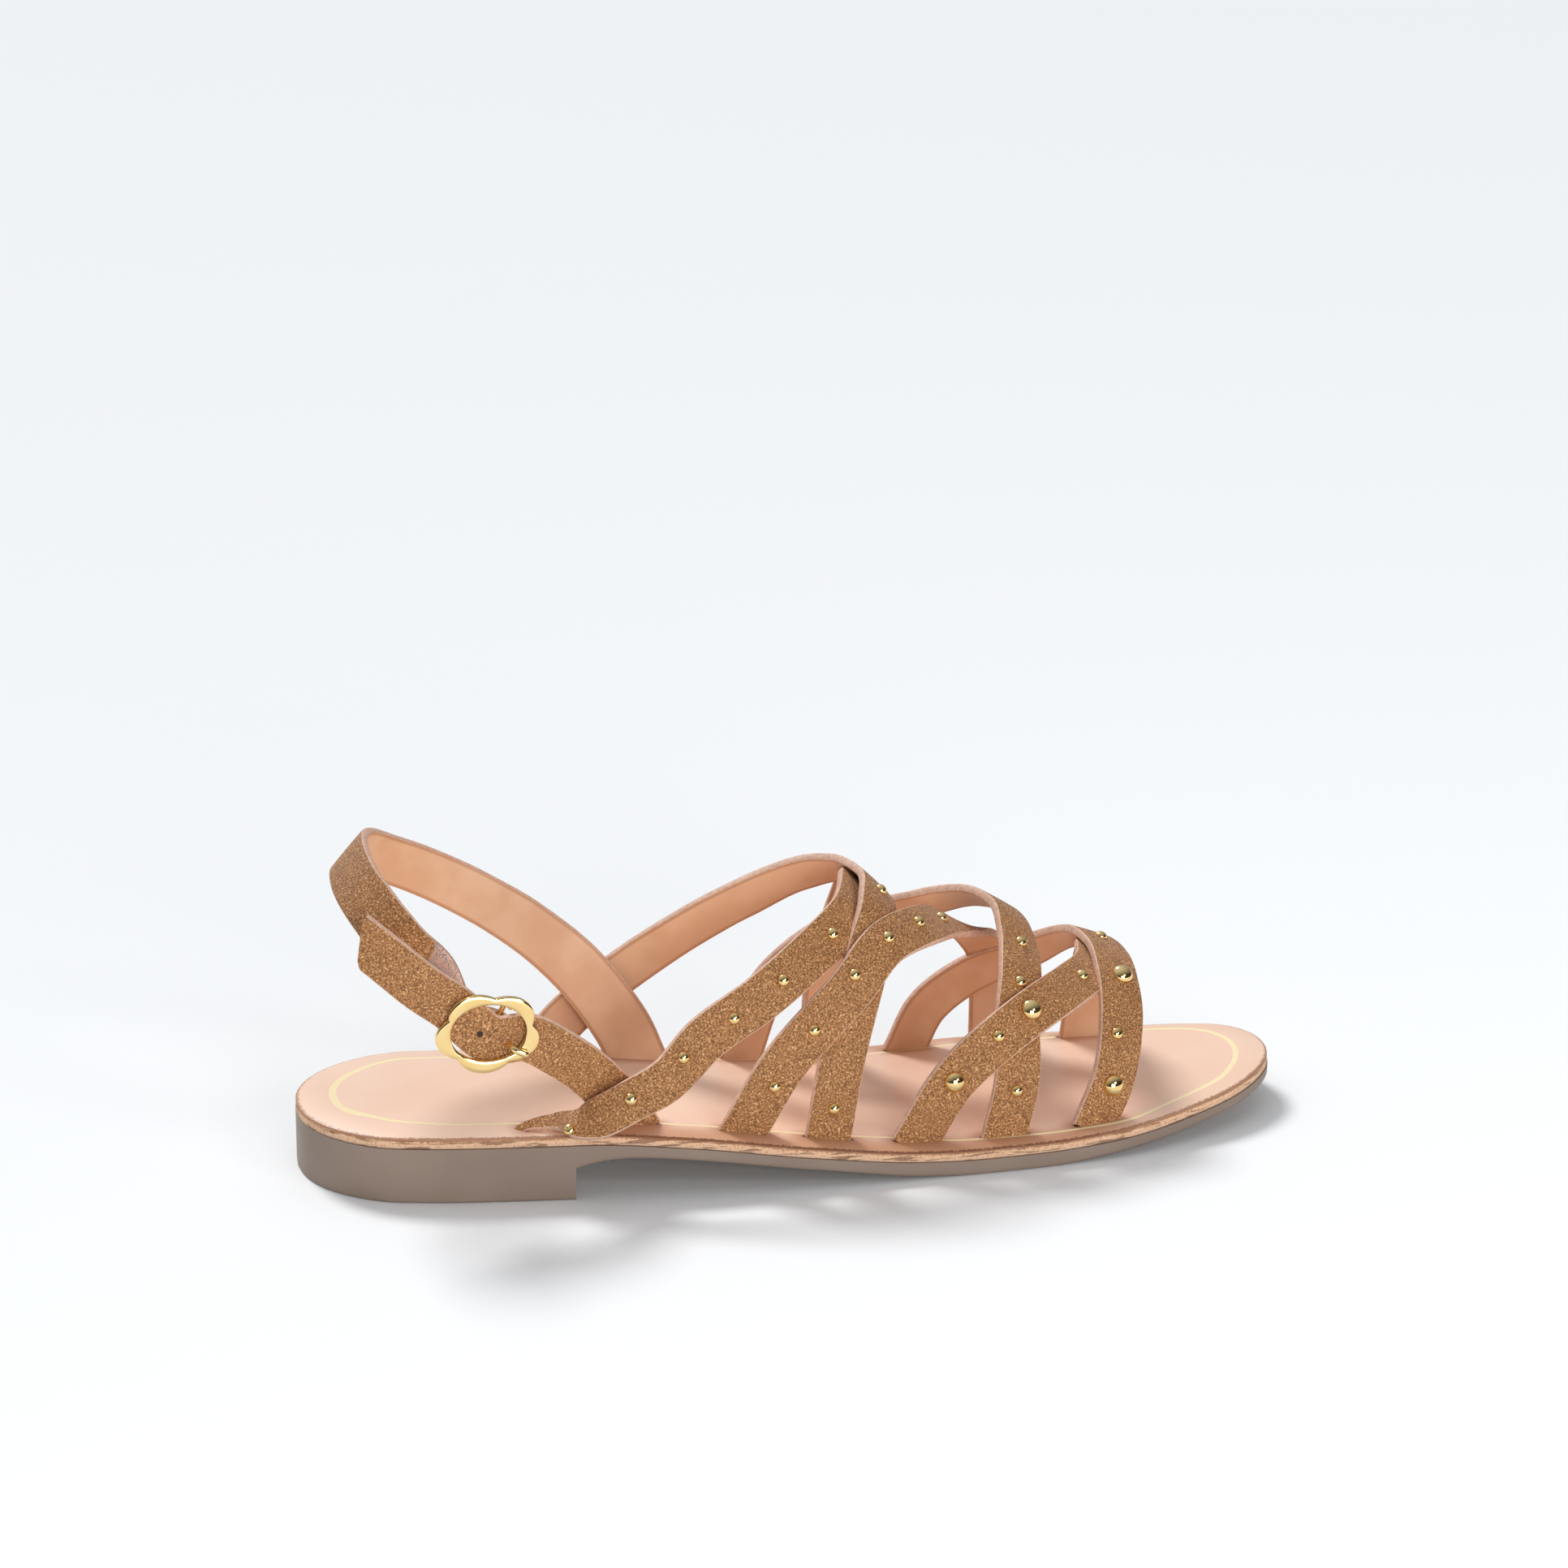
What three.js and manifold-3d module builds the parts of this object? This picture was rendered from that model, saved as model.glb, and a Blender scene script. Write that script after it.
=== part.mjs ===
// Studded strap sandal for the right foot, in millimetres.
// X runs from heel to toe, Y from the outer side to the inner side of the foot, Z up from the floor.
import * as THREE from 'three';
import { mergeVertices } from 'three/addons/utils/BufferGeometryUtils.js';
import Module from 'manifold-3d';

const wasm = await Module();
wasm.setup();

// Sole sizes
const soleLength = 221;
const ballWidth = 72;
const heelWidth = 56;
const heelHeight = 12.4;
const heelBlockLength = 56.3;
const breastHeight = 7;
const breastFillet = 24;
const forefootSole = 3.4;
const shankSole = 2.7;
const toeSpring = 5.2;
const soleEdgeChamfer = 0.7;

// Insole sizes
const insoleThickness = 2.6;
const insoleLedge = 0.6;
const rimDrop = 0.7;
const slitInset = 6.6;
const rimRound = 0.6;

// Upper sizes
const instepHeight = 56;
const slingHeight = 71;
const slingSpread = 30;
const strapWidth = 10.2;
const slingWidth = 13;
const buckleStrapWidth = 10.6;
const tailBevel = 6.5;
const elasticWidth = 9;
const strapThickness = 1.8;
const elasticThickness = 1.2;
const strapEdgeRound = 0.3;
const crownShift = 4;
const clearance = 0.3;

// Stud and buckle sizes
const smallStud = 2.8;
const largeStud = 4.8;
const studRise = 0.42;
const buckleLength = 23;
const buckleHeight = 18.1;
const buckleOpeningLength = 16.4;
const buckleOpeningHeight = 12.6;
const bucklePlate = 1.3;
const buckleBevel = 0.35;
const buckleTurn = 28;
const buckleRise = 1.5;
const petals = 5;
const petalDepth = 0.16;
const petalTurn = 8;
const barDiameter = 1.3;
const prongDiameter = 1.5;
const prongReach = 9.8;
const prongRise = 0.6;
const barTop = 8.4;
const barAhead = 2;
const punchDiameter = 1.5;
const punchBehind = 1.3;

// Length of strap let into the insole at a foot, which is cut flush with the insole's underside, and
// the number of sections along a strap.
const footReach = 5.7;
const slingFootReach = 6.8;
const strapSections = 36;
const firstStrapSections = 60;
const slingSections = 34;
const buckleStrapSections = 28;

// Colours
const finish = {
  rubber: { color: 0x83776a, roughness: 0.75, metalness: 0 },
  insole: { color: 0xe7cfb8, roughness: 0.55, metalness: 0 },
  suede: { color: 0xa57b50, roughness: 0.95, metalness: 0 },
  elastic: { color: 0xcdb09a, roughness: 0.6, metalness: 0.2 },
  gold: { color: 0xe8d3a2, roughness: 0.2, metalness: 1 },
};

// Plan outline from where the round heel ends: shares of sole length and of ball width.
const outlineRows = [
  { at: 0.15, outer: -0.408, inner: 0.379 },
  { at: 0.25, outer: -0.446, inner: 0.328 },
  { at: 0.36, outer: -0.479, inner: 0.297 },
  { at: 0.47, outer: -0.500, inner: 0.350 },
  { at: 0.57, outer: -0.501, inner: 0.426 },
  { at: 0.66, outer: -0.492, inner: 0.483 },
  { at: 0.74, outer: -0.472, inner: 0.492 },
  { at: 0.82, outer: -0.428, inner: 0.447 },
  { at: 0.89, outer: -0.339, inner: 0.400 },
  { at: 0.94, outer: -0.250, inner: 0.339 },
  { at: 0.975, outer: -0.144, inner: 0.268 },
  { at: 0.994, outer: -0.040, inner: 0.175 },
];
const tipShift = 0.07;

// Side profile of the outsole top: share of the drop from heel to forefoot, share of the toe spring.
const profileRows = [
  { at: 0, drop: 0, spring: 0 },
  { at: 0.27, drop: 0, spring: 0 },
  { at: 0.37, drop: 0.2, spring: 0 },
  { at: 0.49, drop: 0.62, spring: 0 },
  { at: 0.60, drop: 0.94, spring: 0 },
  { at: 0.66, drop: 1, spring: 0 },
  { at: 0.73, drop: 1, spring: 0 },
  { at: 0.78, drop: 1, spring: 0.07 },
  { at: 0.85, drop: 1, spring: 0.27 },
  { at: 0.92, drop: 1, spring: 0.58 },
  { at: 1, drop: 1, spring: 1 },
];

// Outsole thickness forward of the heel block: share from shank thickness to forefoot thickness.
const thicknessRows = [
  { at: 0.29, share: 0 },
  { at: 0.50, share: 0.1 },
  { at: 0.60, share: 0.85 },
  { at: 0.66, share: 1 },
  { at: 0.73, share: 1 },
  { at: 0.82, share: 0 },
  { at: 1, share: -0.6 },
];

// Height of the last above the insole along the foot: shares of instep height.
const lastRows = [
  { at: 0.18, height: 1.08 },
  { at: 0.36, height: 1.00 },
  { at: 0.54, height: 0.91 },
  { at: 0.60, height: 0.82 },
  { at: 0.65, height: 0.735 },
  { at: 0.70, height: 0.65 },
  { at: 0.78, height: 0.545 },
  { at: 0.86, height: 0.46 },
  { at: 0.98, height: 0.34 },
];
const sideFullness = 0.80;
const crownFullness = 0.92;

// The six straps numbered by their outer slits from heel to toe. turn runs from the outer slit over
// the crown to the inner slit, at is a share of sole length, lift counts strap thicknesses off the
// last and roll turns the face towards the toe, in degrees.
const strapPaths = {
  1: [
    { turn: 0.11, at: 0.388, lift: 1.0, roll: 0 },
    { turn: 0.17, at: 0.442, lift: 0.4, roll: 0 },
    { turn: 0.25, at: 0.496, lift: 0, roll: 0 },
    { turn: 0.36, at: 0.547, lift: -0.3, roll: 6 },
    { turn: 0.50, at: 0.572, lift: -0.8, roll: 14 },
    { turn: 0.64, at: 0.580, lift: -0.2, roll: 8 },
    { turn: 0.80, at: 0.572, lift: 0.6, roll: 0 },
    { turn: 0.91, at: 0.560, lift: 0.6, roll: 0 },
    { turn: 1, at: 0.557, lift: 0, roll: 0 },
  ],
  2: [
    { turn: 0, at: 0.424, lift: 0, roll: 0 },
    { turn: 0.09, at: 0.466, lift: 0.4, roll: 0 },
    { turn: 0.20, at: 0.530, lift: 1, roll: 0 },
    { turn: 0.30, at: 0.572, lift: 1, roll: 0 },
    { turn: 0.40, at: 0.624, lift: 0.2, roll: 6 },
    { turn: 0.50, at: 0.664, lift: -1.1, roll: 10 },
    { turn: 0.58, at: 0.688, lift: -1.5, roll: 8 },
    { turn: 0.66, at: 0.708, lift: -1.2, roll: 0 },
    { turn: 0.74, at: 0.724, lift: 0, roll: 0 },
    { turn: 0.81, at: 0.735, lift: 1, roll: 0 },
    { turn: 0.90, at: 0.739, lift: 0.4, roll: 0 },
    { turn: 1, at: 0.739, lift: 0, roll: 0 },
  ],
  3: [
    { turn: 0, at: 0.508, lift: 0, roll: 0 },
    { turn: 0.10, at: 0.523, lift: 0, roll: 0 },
    { turn: 0.26, at: 0.554, lift: 0, roll: 0 },
    { turn: 0.38, at: 0.571, lift: 0.7, roll: 14 },
    { turn: 0.47, at: 0.578, lift: 0.5, roll: 20 },
    { turn: 0.56, at: 0.559, lift: 0, roll: 14 },
    { turn: 0.65, at: 0.522, lift: -0.3, roll: 4 },
    { turn: 0.75, at: 0.463, lift: -0.2, roll: 0 },
    { turn: 0.82, at: 0.416, lift: 1.2, roll: 0 },
    { turn: 0.90, at: 0.350, lift: 3.0, roll: 0 },
    { turn: 0.96, at: 0.290, lift: 2.2, roll: 0 },
    { turn: 1, at: 0.252, lift: 0.6, roll: 0 },
  ],
  4: [
    { turn: 0, at: 0.597, lift: 0, roll: 0 },
    { turn: 0.09, at: 0.635, lift: 0.4, roll: 0 },
    { turn: 0.17, at: 0.680, lift: 1, roll: 0 },
    { turn: 0.25, at: 0.728, lift: 1, roll: 0 },
    { turn: 0.33, at: 0.772, lift: 0.4, roll: 2 },
    { turn: 0.42, at: 0.806, lift: -0.1, roll: 8 },
    { turn: 0.52, at: 0.822, lift: -0.2, roll: 10 },
    { turn: 0.65, at: 0.835, lift: -0.1, roll: 4 },
    { turn: 0.80, at: 0.838, lift: 0, roll: 0 },
    { turn: 0.90, at: 0.836, lift: 0, roll: 0 },
    { turn: 1, at: 0.832, lift: 0, roll: 0 },
  ],
  5: [
    { turn: 0, at: 0.688, lift: 0, roll: 0 },
    { turn: 0.10, at: 0.702, lift: 0, roll: 0 },
    { turn: 0.22, at: 0.707, lift: 0, roll: 0 },
    { turn: 0.34, at: 0.717, lift: 0.4, roll: 6 },
    { turn: 0.43, at: 0.722, lift: 0.9, roll: 12 },
    { turn: 0.50, at: 0.714, lift: 2.8, roll: 14 },
    { turn: 0.57, at: 0.690, lift: 2.6, roll: 10 },
    { turn: 0.65, at: 0.652, lift: 0.8, roll: 4 },
    { turn: 0.74, at: 0.598, lift: -0.7, roll: 0 },
    { turn: 0.83, at: 0.540, lift: -0.5, roll: 0 },
    { turn: 0.91, at: 0.492, lift: -0.3, roll: 0 },
    { turn: 1, at: 0.465, lift: 0, roll: 0 },
  ],
  6: [
    { turn: 0, at: 0.784, lift: 0, roll: 0 },
    { turn: 0.10, at: 0.805, lift: 0, roll: 0 },
    { turn: 0.25, at: 0.819, lift: 0, roll: 0 },
    { turn: 0.37, at: 0.822, lift: 0.5, roll: 8 },
    { turn: 0.47, at: 0.823, lift: 0.9, roll: 12 },
    { turn: 0.57, at: 0.814, lift: 1, roll: 8 },
    { turn: 0.66, at: 0.796, lift: 0.6, roll: 0 },
    { turn: 0.76, at: 0.764, lift: 0, roll: 0 },
    { turn: 0.85, at: 0.714, lift: 0, roll: 0 },
    { turn: 0.93, at: 0.671, lift: 0, roll: 0 },
    { turn: 1, at: 0.648, lift: 0, roll: 0 },
  ],
};

// Strap 1 gathers to a narrow foot, lies over the rim and then stands up: shares of sole length,
// ball width, instep height above the insole and strap width, and how far its face looks up.
const gatherRows = [
  { at: 0.190, across: -0.350, rise: -0.090, tilt: 40, width: 0.22 },
  { at: 0.209, across: -0.366, rise: -0.012, tilt: 50, width: 0.22 },
  { at: 0.232, across: -0.382, rise: 0.010, tilt: 52, width: 0.33 },
  { at: 0.248, across: -0.402, rise: 0.020, tilt: 53, width: 0.46 },
  { at: 0.262, across: -0.438, rise: 0.028, tilt: 45, width: 0.74 },
  { at: 0.280, across: -0.458, rise: 0.060, tilt: 37, width: 0.9 },
  { at: 0.308, across: -0.464, rise: 0.128, tilt: 22, width: 0.9 },
  { at: 0.345, across: -0.452, rise: 0.216, tilt: 12, width: 0.94 },
];

// Sling strap from the inner slit round the heel to the buckle bar: shares of sole length,
// of the sling's spread and of sling height, the lean of the band in degrees from vertical and its
// share of sling width.
const slingPath = [
  { at: 0.355, across: 0.46, up: 0.190, lean: 62, width: 1 },
  { at: 0.340, across: 0.48, up: 0.300, lean: 60, width: 1 },
  { at: 0.298, across: 0.56, up: 0.487, lean: 49, width: 0.97 },
  { at: 0.249, across: 0.68, up: 0.624, lean: 34, width: 0.92 },
  { at: 0.198, across: 0.79, up: 0.725, lean: 31, width: 0.88 },
  { at: 0.147, across: 0.76, up: 0.817, lean: 34, width: 0.86 },
  { at: 0.107, across: 0.63, up: 0.886, lean: 38, width: 0.86 },
  { at: 0.076, across: 0.38, up: 0.952, lean: 41, width: 0.87 },
  { at: 0.061, across: 0, up: 0.982, lean: 41, width: 0.87 },
  { at: 0.061, across: -0.36, up: 0.952, lean: 42, width: 0.87 },
  { at: 0.074, across: -0.64, up: 0.893, lean: 47, width: 0.88 },
  { at: 0.094, across: -0.84, up: 0.816, lean: 50, width: 0.9 },
  { at: 0.118, across: -0.91, up: 0.735, lean: 50, width: 0.92 },
];

// Buckle strap from its outer slit through the buckle to its tail, measured as the sling is.
const buckleStrapPath = [
  { at: 0.317, across: -0.88, up: 0.203, turnIn: 0 },
  { at: 0.308, across: -0.89, up: 0.256, turnIn: 0 },
  { at: 0.287, across: -0.92, up: 0.338, turnIn: 0 },
  { at: 0.266, across: -0.965, up: 0.408, turnIn: 0 },
  { at: 0.241, across: -1.03, up: 0.474, turnIn: 2 },
  { at: 0.208, across: -1.07, up: 0.538, turnIn: 0 },
  { at: 0.173, across: -1.08, up: 0.542, turnIn: 0 },
  { at: 0.136, across: -1.08, up: 0.650, turnIn: 0 },
  { at: 0.106, across: -1.07, up: 0.722, turnIn: 4 },
  { at: 0.080, across: -1.04, up: 0.795, turnIn: 10 },
  { at: 0.041, across: -0.95, up: 0.899, turnIn: 16 },
];
// Share of the buckle strap's way from its foot to its tail at which the buckle's centre sits, and the
// share that its ring covers.
const buckleAt = 0.56;
const ringSpan = 0.26;

// Studs on each strap: share of the way from its outer slit, whether the dome is a large one and
// its shift across as a share of strap width.
const studRows = {
  1: [[0.119, 0, -0.26], [0.194, 0, 0.04], [0.275, 0, 0.1], [0.355, 0, 0], [0.431, 0, 0], [0.518, 0, 0]],
  2: [[0.110, 0, -0.08], [0.212, 0, 0], [0.312, 0, 0.13], [0.392, 0, 0.06], [0.468, 0, 0.06], [0.556, 0, 0]],
  3: [[0.068, 0, 0], [0.383, 0, 0]],
  4: [[0.154, 1, 0], [0.266, 0, 0.05], [0.346, 1, 0.04], [0.495, 0, 0]],
  5: [[0.097, 0, 0], [0.260, 0, 0.04], [0.342, 0, 0]],
  6: [[0.102, 1, 0], [0.195, 0, 0.13], [0.317, 1, -0.08], [0.448, 0, 0]],
};

const X = (share) => share * soleLength;

// Smooth value of one column of a table at a share of the length, without overshoot.
function read(rows, column, at) {
  if (at <= rows[0].at) return rows[0][column];
  const last = rows.length - 1;
  if (at >= rows[last].at) return rows[last][column];
  let i = 0;
  while (rows[i + 1].at < at) i += 1;
  const slope = (k) => (rows[k + 1][column] - rows[k][column]) / (rows[k + 1].at - rows[k].at);
  const tangent = (k) => {
    if (k === 0) return slope(0);
    if (k === last) return slope(last - 1);
    const product = slope(k - 1) * slope(k);
    return product <= 0 ? 0 : (2 * product) / (slope(k - 1) + slope(k));
  };
  const span = rows[i + 1].at - rows[i].at;
  const s = (at - rows[i].at) / span;
  const a = rows[i][column];
  const b = rows[i + 1][column];
  const rise = s * s * (3 - 2 * s);
  const bend = s * (1 - s) * ((1 - s) * tangent(i) - s * tangent(i + 1)) * span;
  return a + (b - a) * rise + bend;
}

// Plan outline of the insole as a closed polygon, from the heel round the outer side to the toe.
function planOutline() {
  const radius = heelWidth / 2;
  const points = [];
  for (const degrees of [166, 142, 118, 96]) {
    const angle = THREE.MathUtils.degToRad(degrees);
    points.push(new THREE.Vector3(radius + radius * Math.cos(angle), radius * Math.sin(angle), 0));
  }
  for (const row of outlineRows) points.push(new THREE.Vector3(X(row.at), row.inner * ballWidth, 0));
  points.push(new THREE.Vector3(soleLength, tipShift * ballWidth, 0));
  for (const row of [...outlineRows].reverse()) {
    points.push(new THREE.Vector3(X(row.at), row.outer * ballWidth, 0));
  }
  for (const degrees of [264, 242, 218, 194]) {
    const angle = THREE.MathUtils.degToRad(degrees);
    points.push(new THREE.Vector3(radius + radius * Math.cos(angle), radius * Math.sin(angle), 0));
  }
  return new THREE.CatmullRomCurve3(points, true, 'centripetal').getPoints(360);
}
const outline = planOutline();
const outlineStart = Math.min(...outline.map((p) => p.x));
const outlineEnd = Math.max(...outline.map((p) => p.x));

// Outer and inner edge of the outline at one place along the foot.
function edgesAt(x) {
  const place = THREE.MathUtils.clamp(x, outlineStart + 0.02, outlineEnd - 0.02);
  let low = Infinity;
  let high = -Infinity;
  for (let i = 0; i < outline.length; i += 1) {
    const p = outline[i];
    const q = outline[(i + 1) % outline.length];
    if ((p.x - place) * (q.x - place) > 0 || p.x === q.x) continue;
    const y = p.y + ((q.y - p.y) * (place - p.x)) / (q.x - p.x);
    low = Math.min(low, y);
    high = Math.max(high, y);
  }
  return { outer: low, inner: high };
}

function distanceToOutline(x, y) {
  let nearest = Infinity;
  for (let i = 0; i < outline.length; i += 1) {
    const p = outline[i];
    const q = outline[(i + 1) % outline.length];
    const dx = q.x - p.x;
    const dy = q.y - p.y;
    const length = dx * dx + dy * dy;
    if (length === 0) continue;
    const s = THREE.MathUtils.clamp(((x - p.x) * dx + (y - p.y) * dy) / length, 0, 1);
    nearest = Math.min(nearest, Math.hypot(x - p.x - s * dx, y - p.y - s * dy));
  }
  return nearest;
}

// Height of the outsole's top face.
function seat(x) {
  const at = x / soleLength;
  const drop = read(profileRows, 'drop', at);
  const spring = read(profileRows, 'spring', at);
  return heelHeight - (heelHeight - forefootSole) * drop + toeSpring * spring;
}

// Height of the outsole's underside: heel block, breast, filleted shank, flat forefoot, toe spring.
function underside(x) {
  if (x <= heelBlockLength) return 0;
  const share = read(thicknessRows, 'share', x / soleLength);
  const thickness = shankSole + (forefootSole - shankSole) * share;
  const away = THREE.MathUtils.clamp((x - heelBlockLength) / breastFillet, 0, 1);
  const fillet = (seat(heelBlockLength) - shankSole - breastHeight) * (1 - away) ** 3;
  return Math.max(0, seat(x) - thickness - fillet);
}

const insoleTop = (x) => seat(x) + clearance + insoleThickness;

// Places along the foot for the sole's sections, close together where the outline turns.
function soleStations(extra) {
  const places = [];
  const steps = 40;
  const middle = (outlineStart + outlineEnd) / 2;
  const half = (outlineEnd - outlineStart) / 2;
  for (let i = 0; i <= steps; i += 1) {
    const even = (2 * i) / steps - 1;
    const round = Math.sin((even * Math.PI) / 2);
    places.push(middle + half * 0.9995 * (0.35 * even + 0.65 * round));
  }
  return [...places, ...extra].sort((a, b) => a - b);
}

// Closed body through rings of equal point count, with flat caps.
function loft(rings) {
  const count = rings[0].length;
  const positions = rings.flat().flatMap((p) => [p.x, p.y, p.z]);
  const index = [];
  for (let r = 0; r < rings.length - 1; r += 1) {
    for (let k = 0; k < count; k += 1) {
      const a = r * count + k;
      const b = r * count + ((k + 1) % count);
      index.push(a, b, a + count, b, b + count, a + count);
    }
  }
  for (const [base, flip] of [[0, false], [(rings.length - 1) * count, true]]) {
    const centre = positions.length / 3;
    const middle = new THREE.Vector3();
    for (let k = 0; k < count; k += 1) {
      middle.add(new THREE.Vector3().fromArray(positions, 3 * (base + k)));
    }
    middle.divideScalar(count);
    positions.push(middle.x, middle.y, middle.z);
    for (let k = 0; k < count; k += 1) {
      const a = base + k;
      const b = base + ((k + 1) % count);
      index.push(...(flip ? [centre, a, b] : [centre, b, a]));
    }
  }
  const geometry = new THREE.BufferGeometry();
  geometry.setAttribute('position', new THREE.Float32BufferAttribute(positions, 3));
  geometry.setIndex(index);
  return faceOut(geometry);
}

// Turns every face of a closed body outwards.
function faceOut(geometry) {
  const p = geometry.attributes.position;
  const index = geometry.index.array;
  let volume = 0;
  const [a, b, c] = [new THREE.Vector3(), new THREE.Vector3(), new THREE.Vector3()];
  for (let i = 0; i < index.length; i += 3) {
    a.fromBufferAttribute(p, index[i]);
    b.fromBufferAttribute(p, index[i + 1]);
    c.fromBufferAttribute(p, index[i + 2]);
    volume += a.dot(b.cross(c));
  }
  if (volume < 0) {
    for (let i = 0; i < index.length; i += 3) [index[i], index[i + 1]] = [index[i + 1], index[i]];
  }
  return geometry;
}

function toSolid(geometry) {
  const bare = geometry.clone();
  bare.deleteAttribute('normal');
  bare.deleteAttribute('uv');
  const merged = mergeVertices(bare, 1e-4);
  const vertProperties = new Float32Array(merged.attributes.position.array);
  const triVerts = new Uint32Array(merged.index.array);
  return new wasm.Manifold(new wasm.Mesh({ numProp: 3, vertProperties, triVerts }));
}

function toGeometry(solid) {
  const mesh = solid.getMesh();
  const geometry = new THREE.BufferGeometry();
  geometry.setAttribute('position', new THREE.BufferAttribute(mesh.vertProperties, 3));
  geometry.setIndex(new THREE.BufferAttribute(mesh.triVerts, 1));
  return geometry;
}

// Outsole and heel block as one moulding.
function outsoleGeometry() {
  const step = 0.05;
  const rings = soleStations([heelBlockLength, heelBlockLength + step]).map((x) => {
    const { outer, inner } = edgesAt(x);
    const grow = insoleLedge;
    const low = underside(x);
    const high = seat(x);
    const cut = Math.min(soleEdgeChamfer, (inner - outer) / 4);
    return [
      new THREE.Vector3(x, outer - grow, high),
      new THREE.Vector3(x, outer - grow, low + cut),
      new THREE.Vector3(x, outer - grow + cut, low),
      new THREE.Vector3(x, inner + grow - cut, low),
      new THREE.Vector3(x, inner + grow, low + cut),
      new THREE.Vector3(x, inner + grow, high),
    ];
  });
  return loft(rings);
}

// Insole board with its rim rounded down.
function insoleBlank() {
  const shares = [0, 0.02, 0.07, 0.17, 0.5, 0.83, 0.93, 0.98, 1];
  const roundShare = 1 / 6;
  const rings = soleStations([]).map((x) => {
    const { outer, inner } = edgesAt(x);
    const ring = [new THREE.Vector3(x, outer, seat(x) + clearance)];
    for (const share of shares) {
      const y = outer + (inner - outer) * share;
      const inset = Math.min(distanceToOutline(x, y) / slitInset, 1);
      const edge = Math.max(0, 1 - inset / roundShare);
      const z = insoleTop(x) - rimDrop * (1 - inset) ** 2 - rimRound * edge ** 2;
      ring.push(new THREE.Vector3(x, y, z));
    }
    ring.push(new THREE.Vector3(x, inner, seat(x) + clearance));
    return ring;
  });
  return loft(rings);
}

// Point of the last at a place along the foot and a turn across it.
function lastPoint(at, turn) {
  const x = X(at);
  const { outer, inner } = edgesAt(x);
  const height = instepHeight * read(lastRows, 'height', at);
  const angle = Math.PI * turn;
  const side = Math.abs(Math.cos(angle)) ** sideFullness;
  const foot = Math.cos(angle) > 0 ? outer + slitInset : inner - slitInset;
  const y = crownShift + (foot - crownShift) * side;
  const z = insoleTop(x) + height * Math.max(0, Math.sin(angle)) ** crownFullness;
  return new THREE.Vector3(x, y, z);
}

function lastNormal(at, turn) {
  const t = THREE.MathUtils.clamp(turn, 0.03, 0.97);
  const across = lastPoint(at, t + 0.02).sub(lastPoint(at, t - 0.02));
  const along = lastPoint(at + 0.02, t).sub(lastPoint(at - 0.02, t));
  return across.cross(along).normalize().negate();
}

// Frames along a strap: point, direction, outward normal, width direction and share of full width.
function frames(points, facing, count, widths = points.map(() => 1)) {
  const path = new THREE.CatmullRomCurve3(points, false, 'centripetal');
  const spread = widths.map((width) => new THREE.Vector3(width, 0, 0));
  const result = [];
  for (let i = 0; i <= count; i += 1) {
    const t = path.getUtoTmapping(i / count);
    const point = path.getPoint(t);
    const along = path.getTangent(t).normalize();
    const hint = interpolate(facing, t).normalize();
    const out = hint.addScaledVector(along, -hint.dot(along)).normalize();
    const wide = new THREE.Vector3().crossVectors(out, along).normalize();
    result.push({ point, along, out, wide, width: interpolate(spread, t).x });
  }
  return result;
}

function interpolate(vectors, t) {
  const place = t * (vectors.length - 1);
  const i = Math.min(Math.floor(place), vectors.length - 2);
  const s = place - i;
  return vectors[i].clone().lerp(vectors[i + 1], s * s * (3 - 2 * s));
}

// Flat band along frames; its inner face lies on the path. bevel slants its last end, and the
// rings before that end lean with it.
function band(list, width, thickness, spare = 0, bevel = 0) {
  const leaningRings = 6;
  const low = -spare;
  const high = thickness + spare;
  const r = strapEdgeRound;
  const rings = list.map((f, i) => {
    const w = (width * f.width) / 2 + spare;
    const slant = Math.max(0, 1 - (list.length - 1 - i) / leaningRings) ** 2;
    const corners = [[-w, low], [w, low], [w, high - r], [w - r, high], [-w + r, high], [-w, high - r]];
    return corners.map(([a, b]) => {
      const back = (bevel * slant * (w + a)) / (2 * w);
      const p = f.point.clone().addScaledVector(f.wide, a).addScaledVector(f.out, b);
      return p.addScaledVector(f.along, -back);
    });
  });
  return loft(rings);
}

// Strap frames from the tables, run on straight through the insole at both feet.
function strapFrames(rows, gather = []) {
  const points = gather.map((row) => new THREE.Vector3(
    X(row.at), row.across * ballWidth, insoleTop(X(row.at)) + row.rise * instepHeight));
  const facing = gather.map((row) => {
    const tilt = THREE.MathUtils.degToRad(row.tilt);
    return new THREE.Vector3(0, -Math.cos(tilt), Math.sin(tilt));
  });
  const widths = gather.map((row) => row.width);
  const onLast = rows.map((row) => lastPoint(row.at, row.turn)
    .addScaledVector(lastNormal(row.at, row.turn), row.lift * strapThickness));
  onLast.forEach((point, i) => {
    const before = onLast[Math.max(i - 1, 0)];
    const after = onLast[Math.min(i + 1, onLast.length - 1)];
    const along = after.clone().sub(before).normalize();
    const roll = THREE.MathUtils.degToRad(rows[i].roll);
    points.push(point);
    facing.push(lastNormal(rows[i].at, rows[i].turn).applyAxisAngle(along, roll));
    widths.push(1);
  });
  const sections = gather.length ? firstStrapSections : strapSections;
  return extend(frames(points, facing, sections, widths), footReach);
}

function extend(list, reach, both = true) {
  const shift = (f, by) => ({ ...f, point: f.point.clone().addScaledVector(f.along, by) });
  const first = shift(list[0], -reach);
  const last = shift(list[list.length - 1], reach);
  return both ? [first, ...list, last] : [first, ...list];
}

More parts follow.
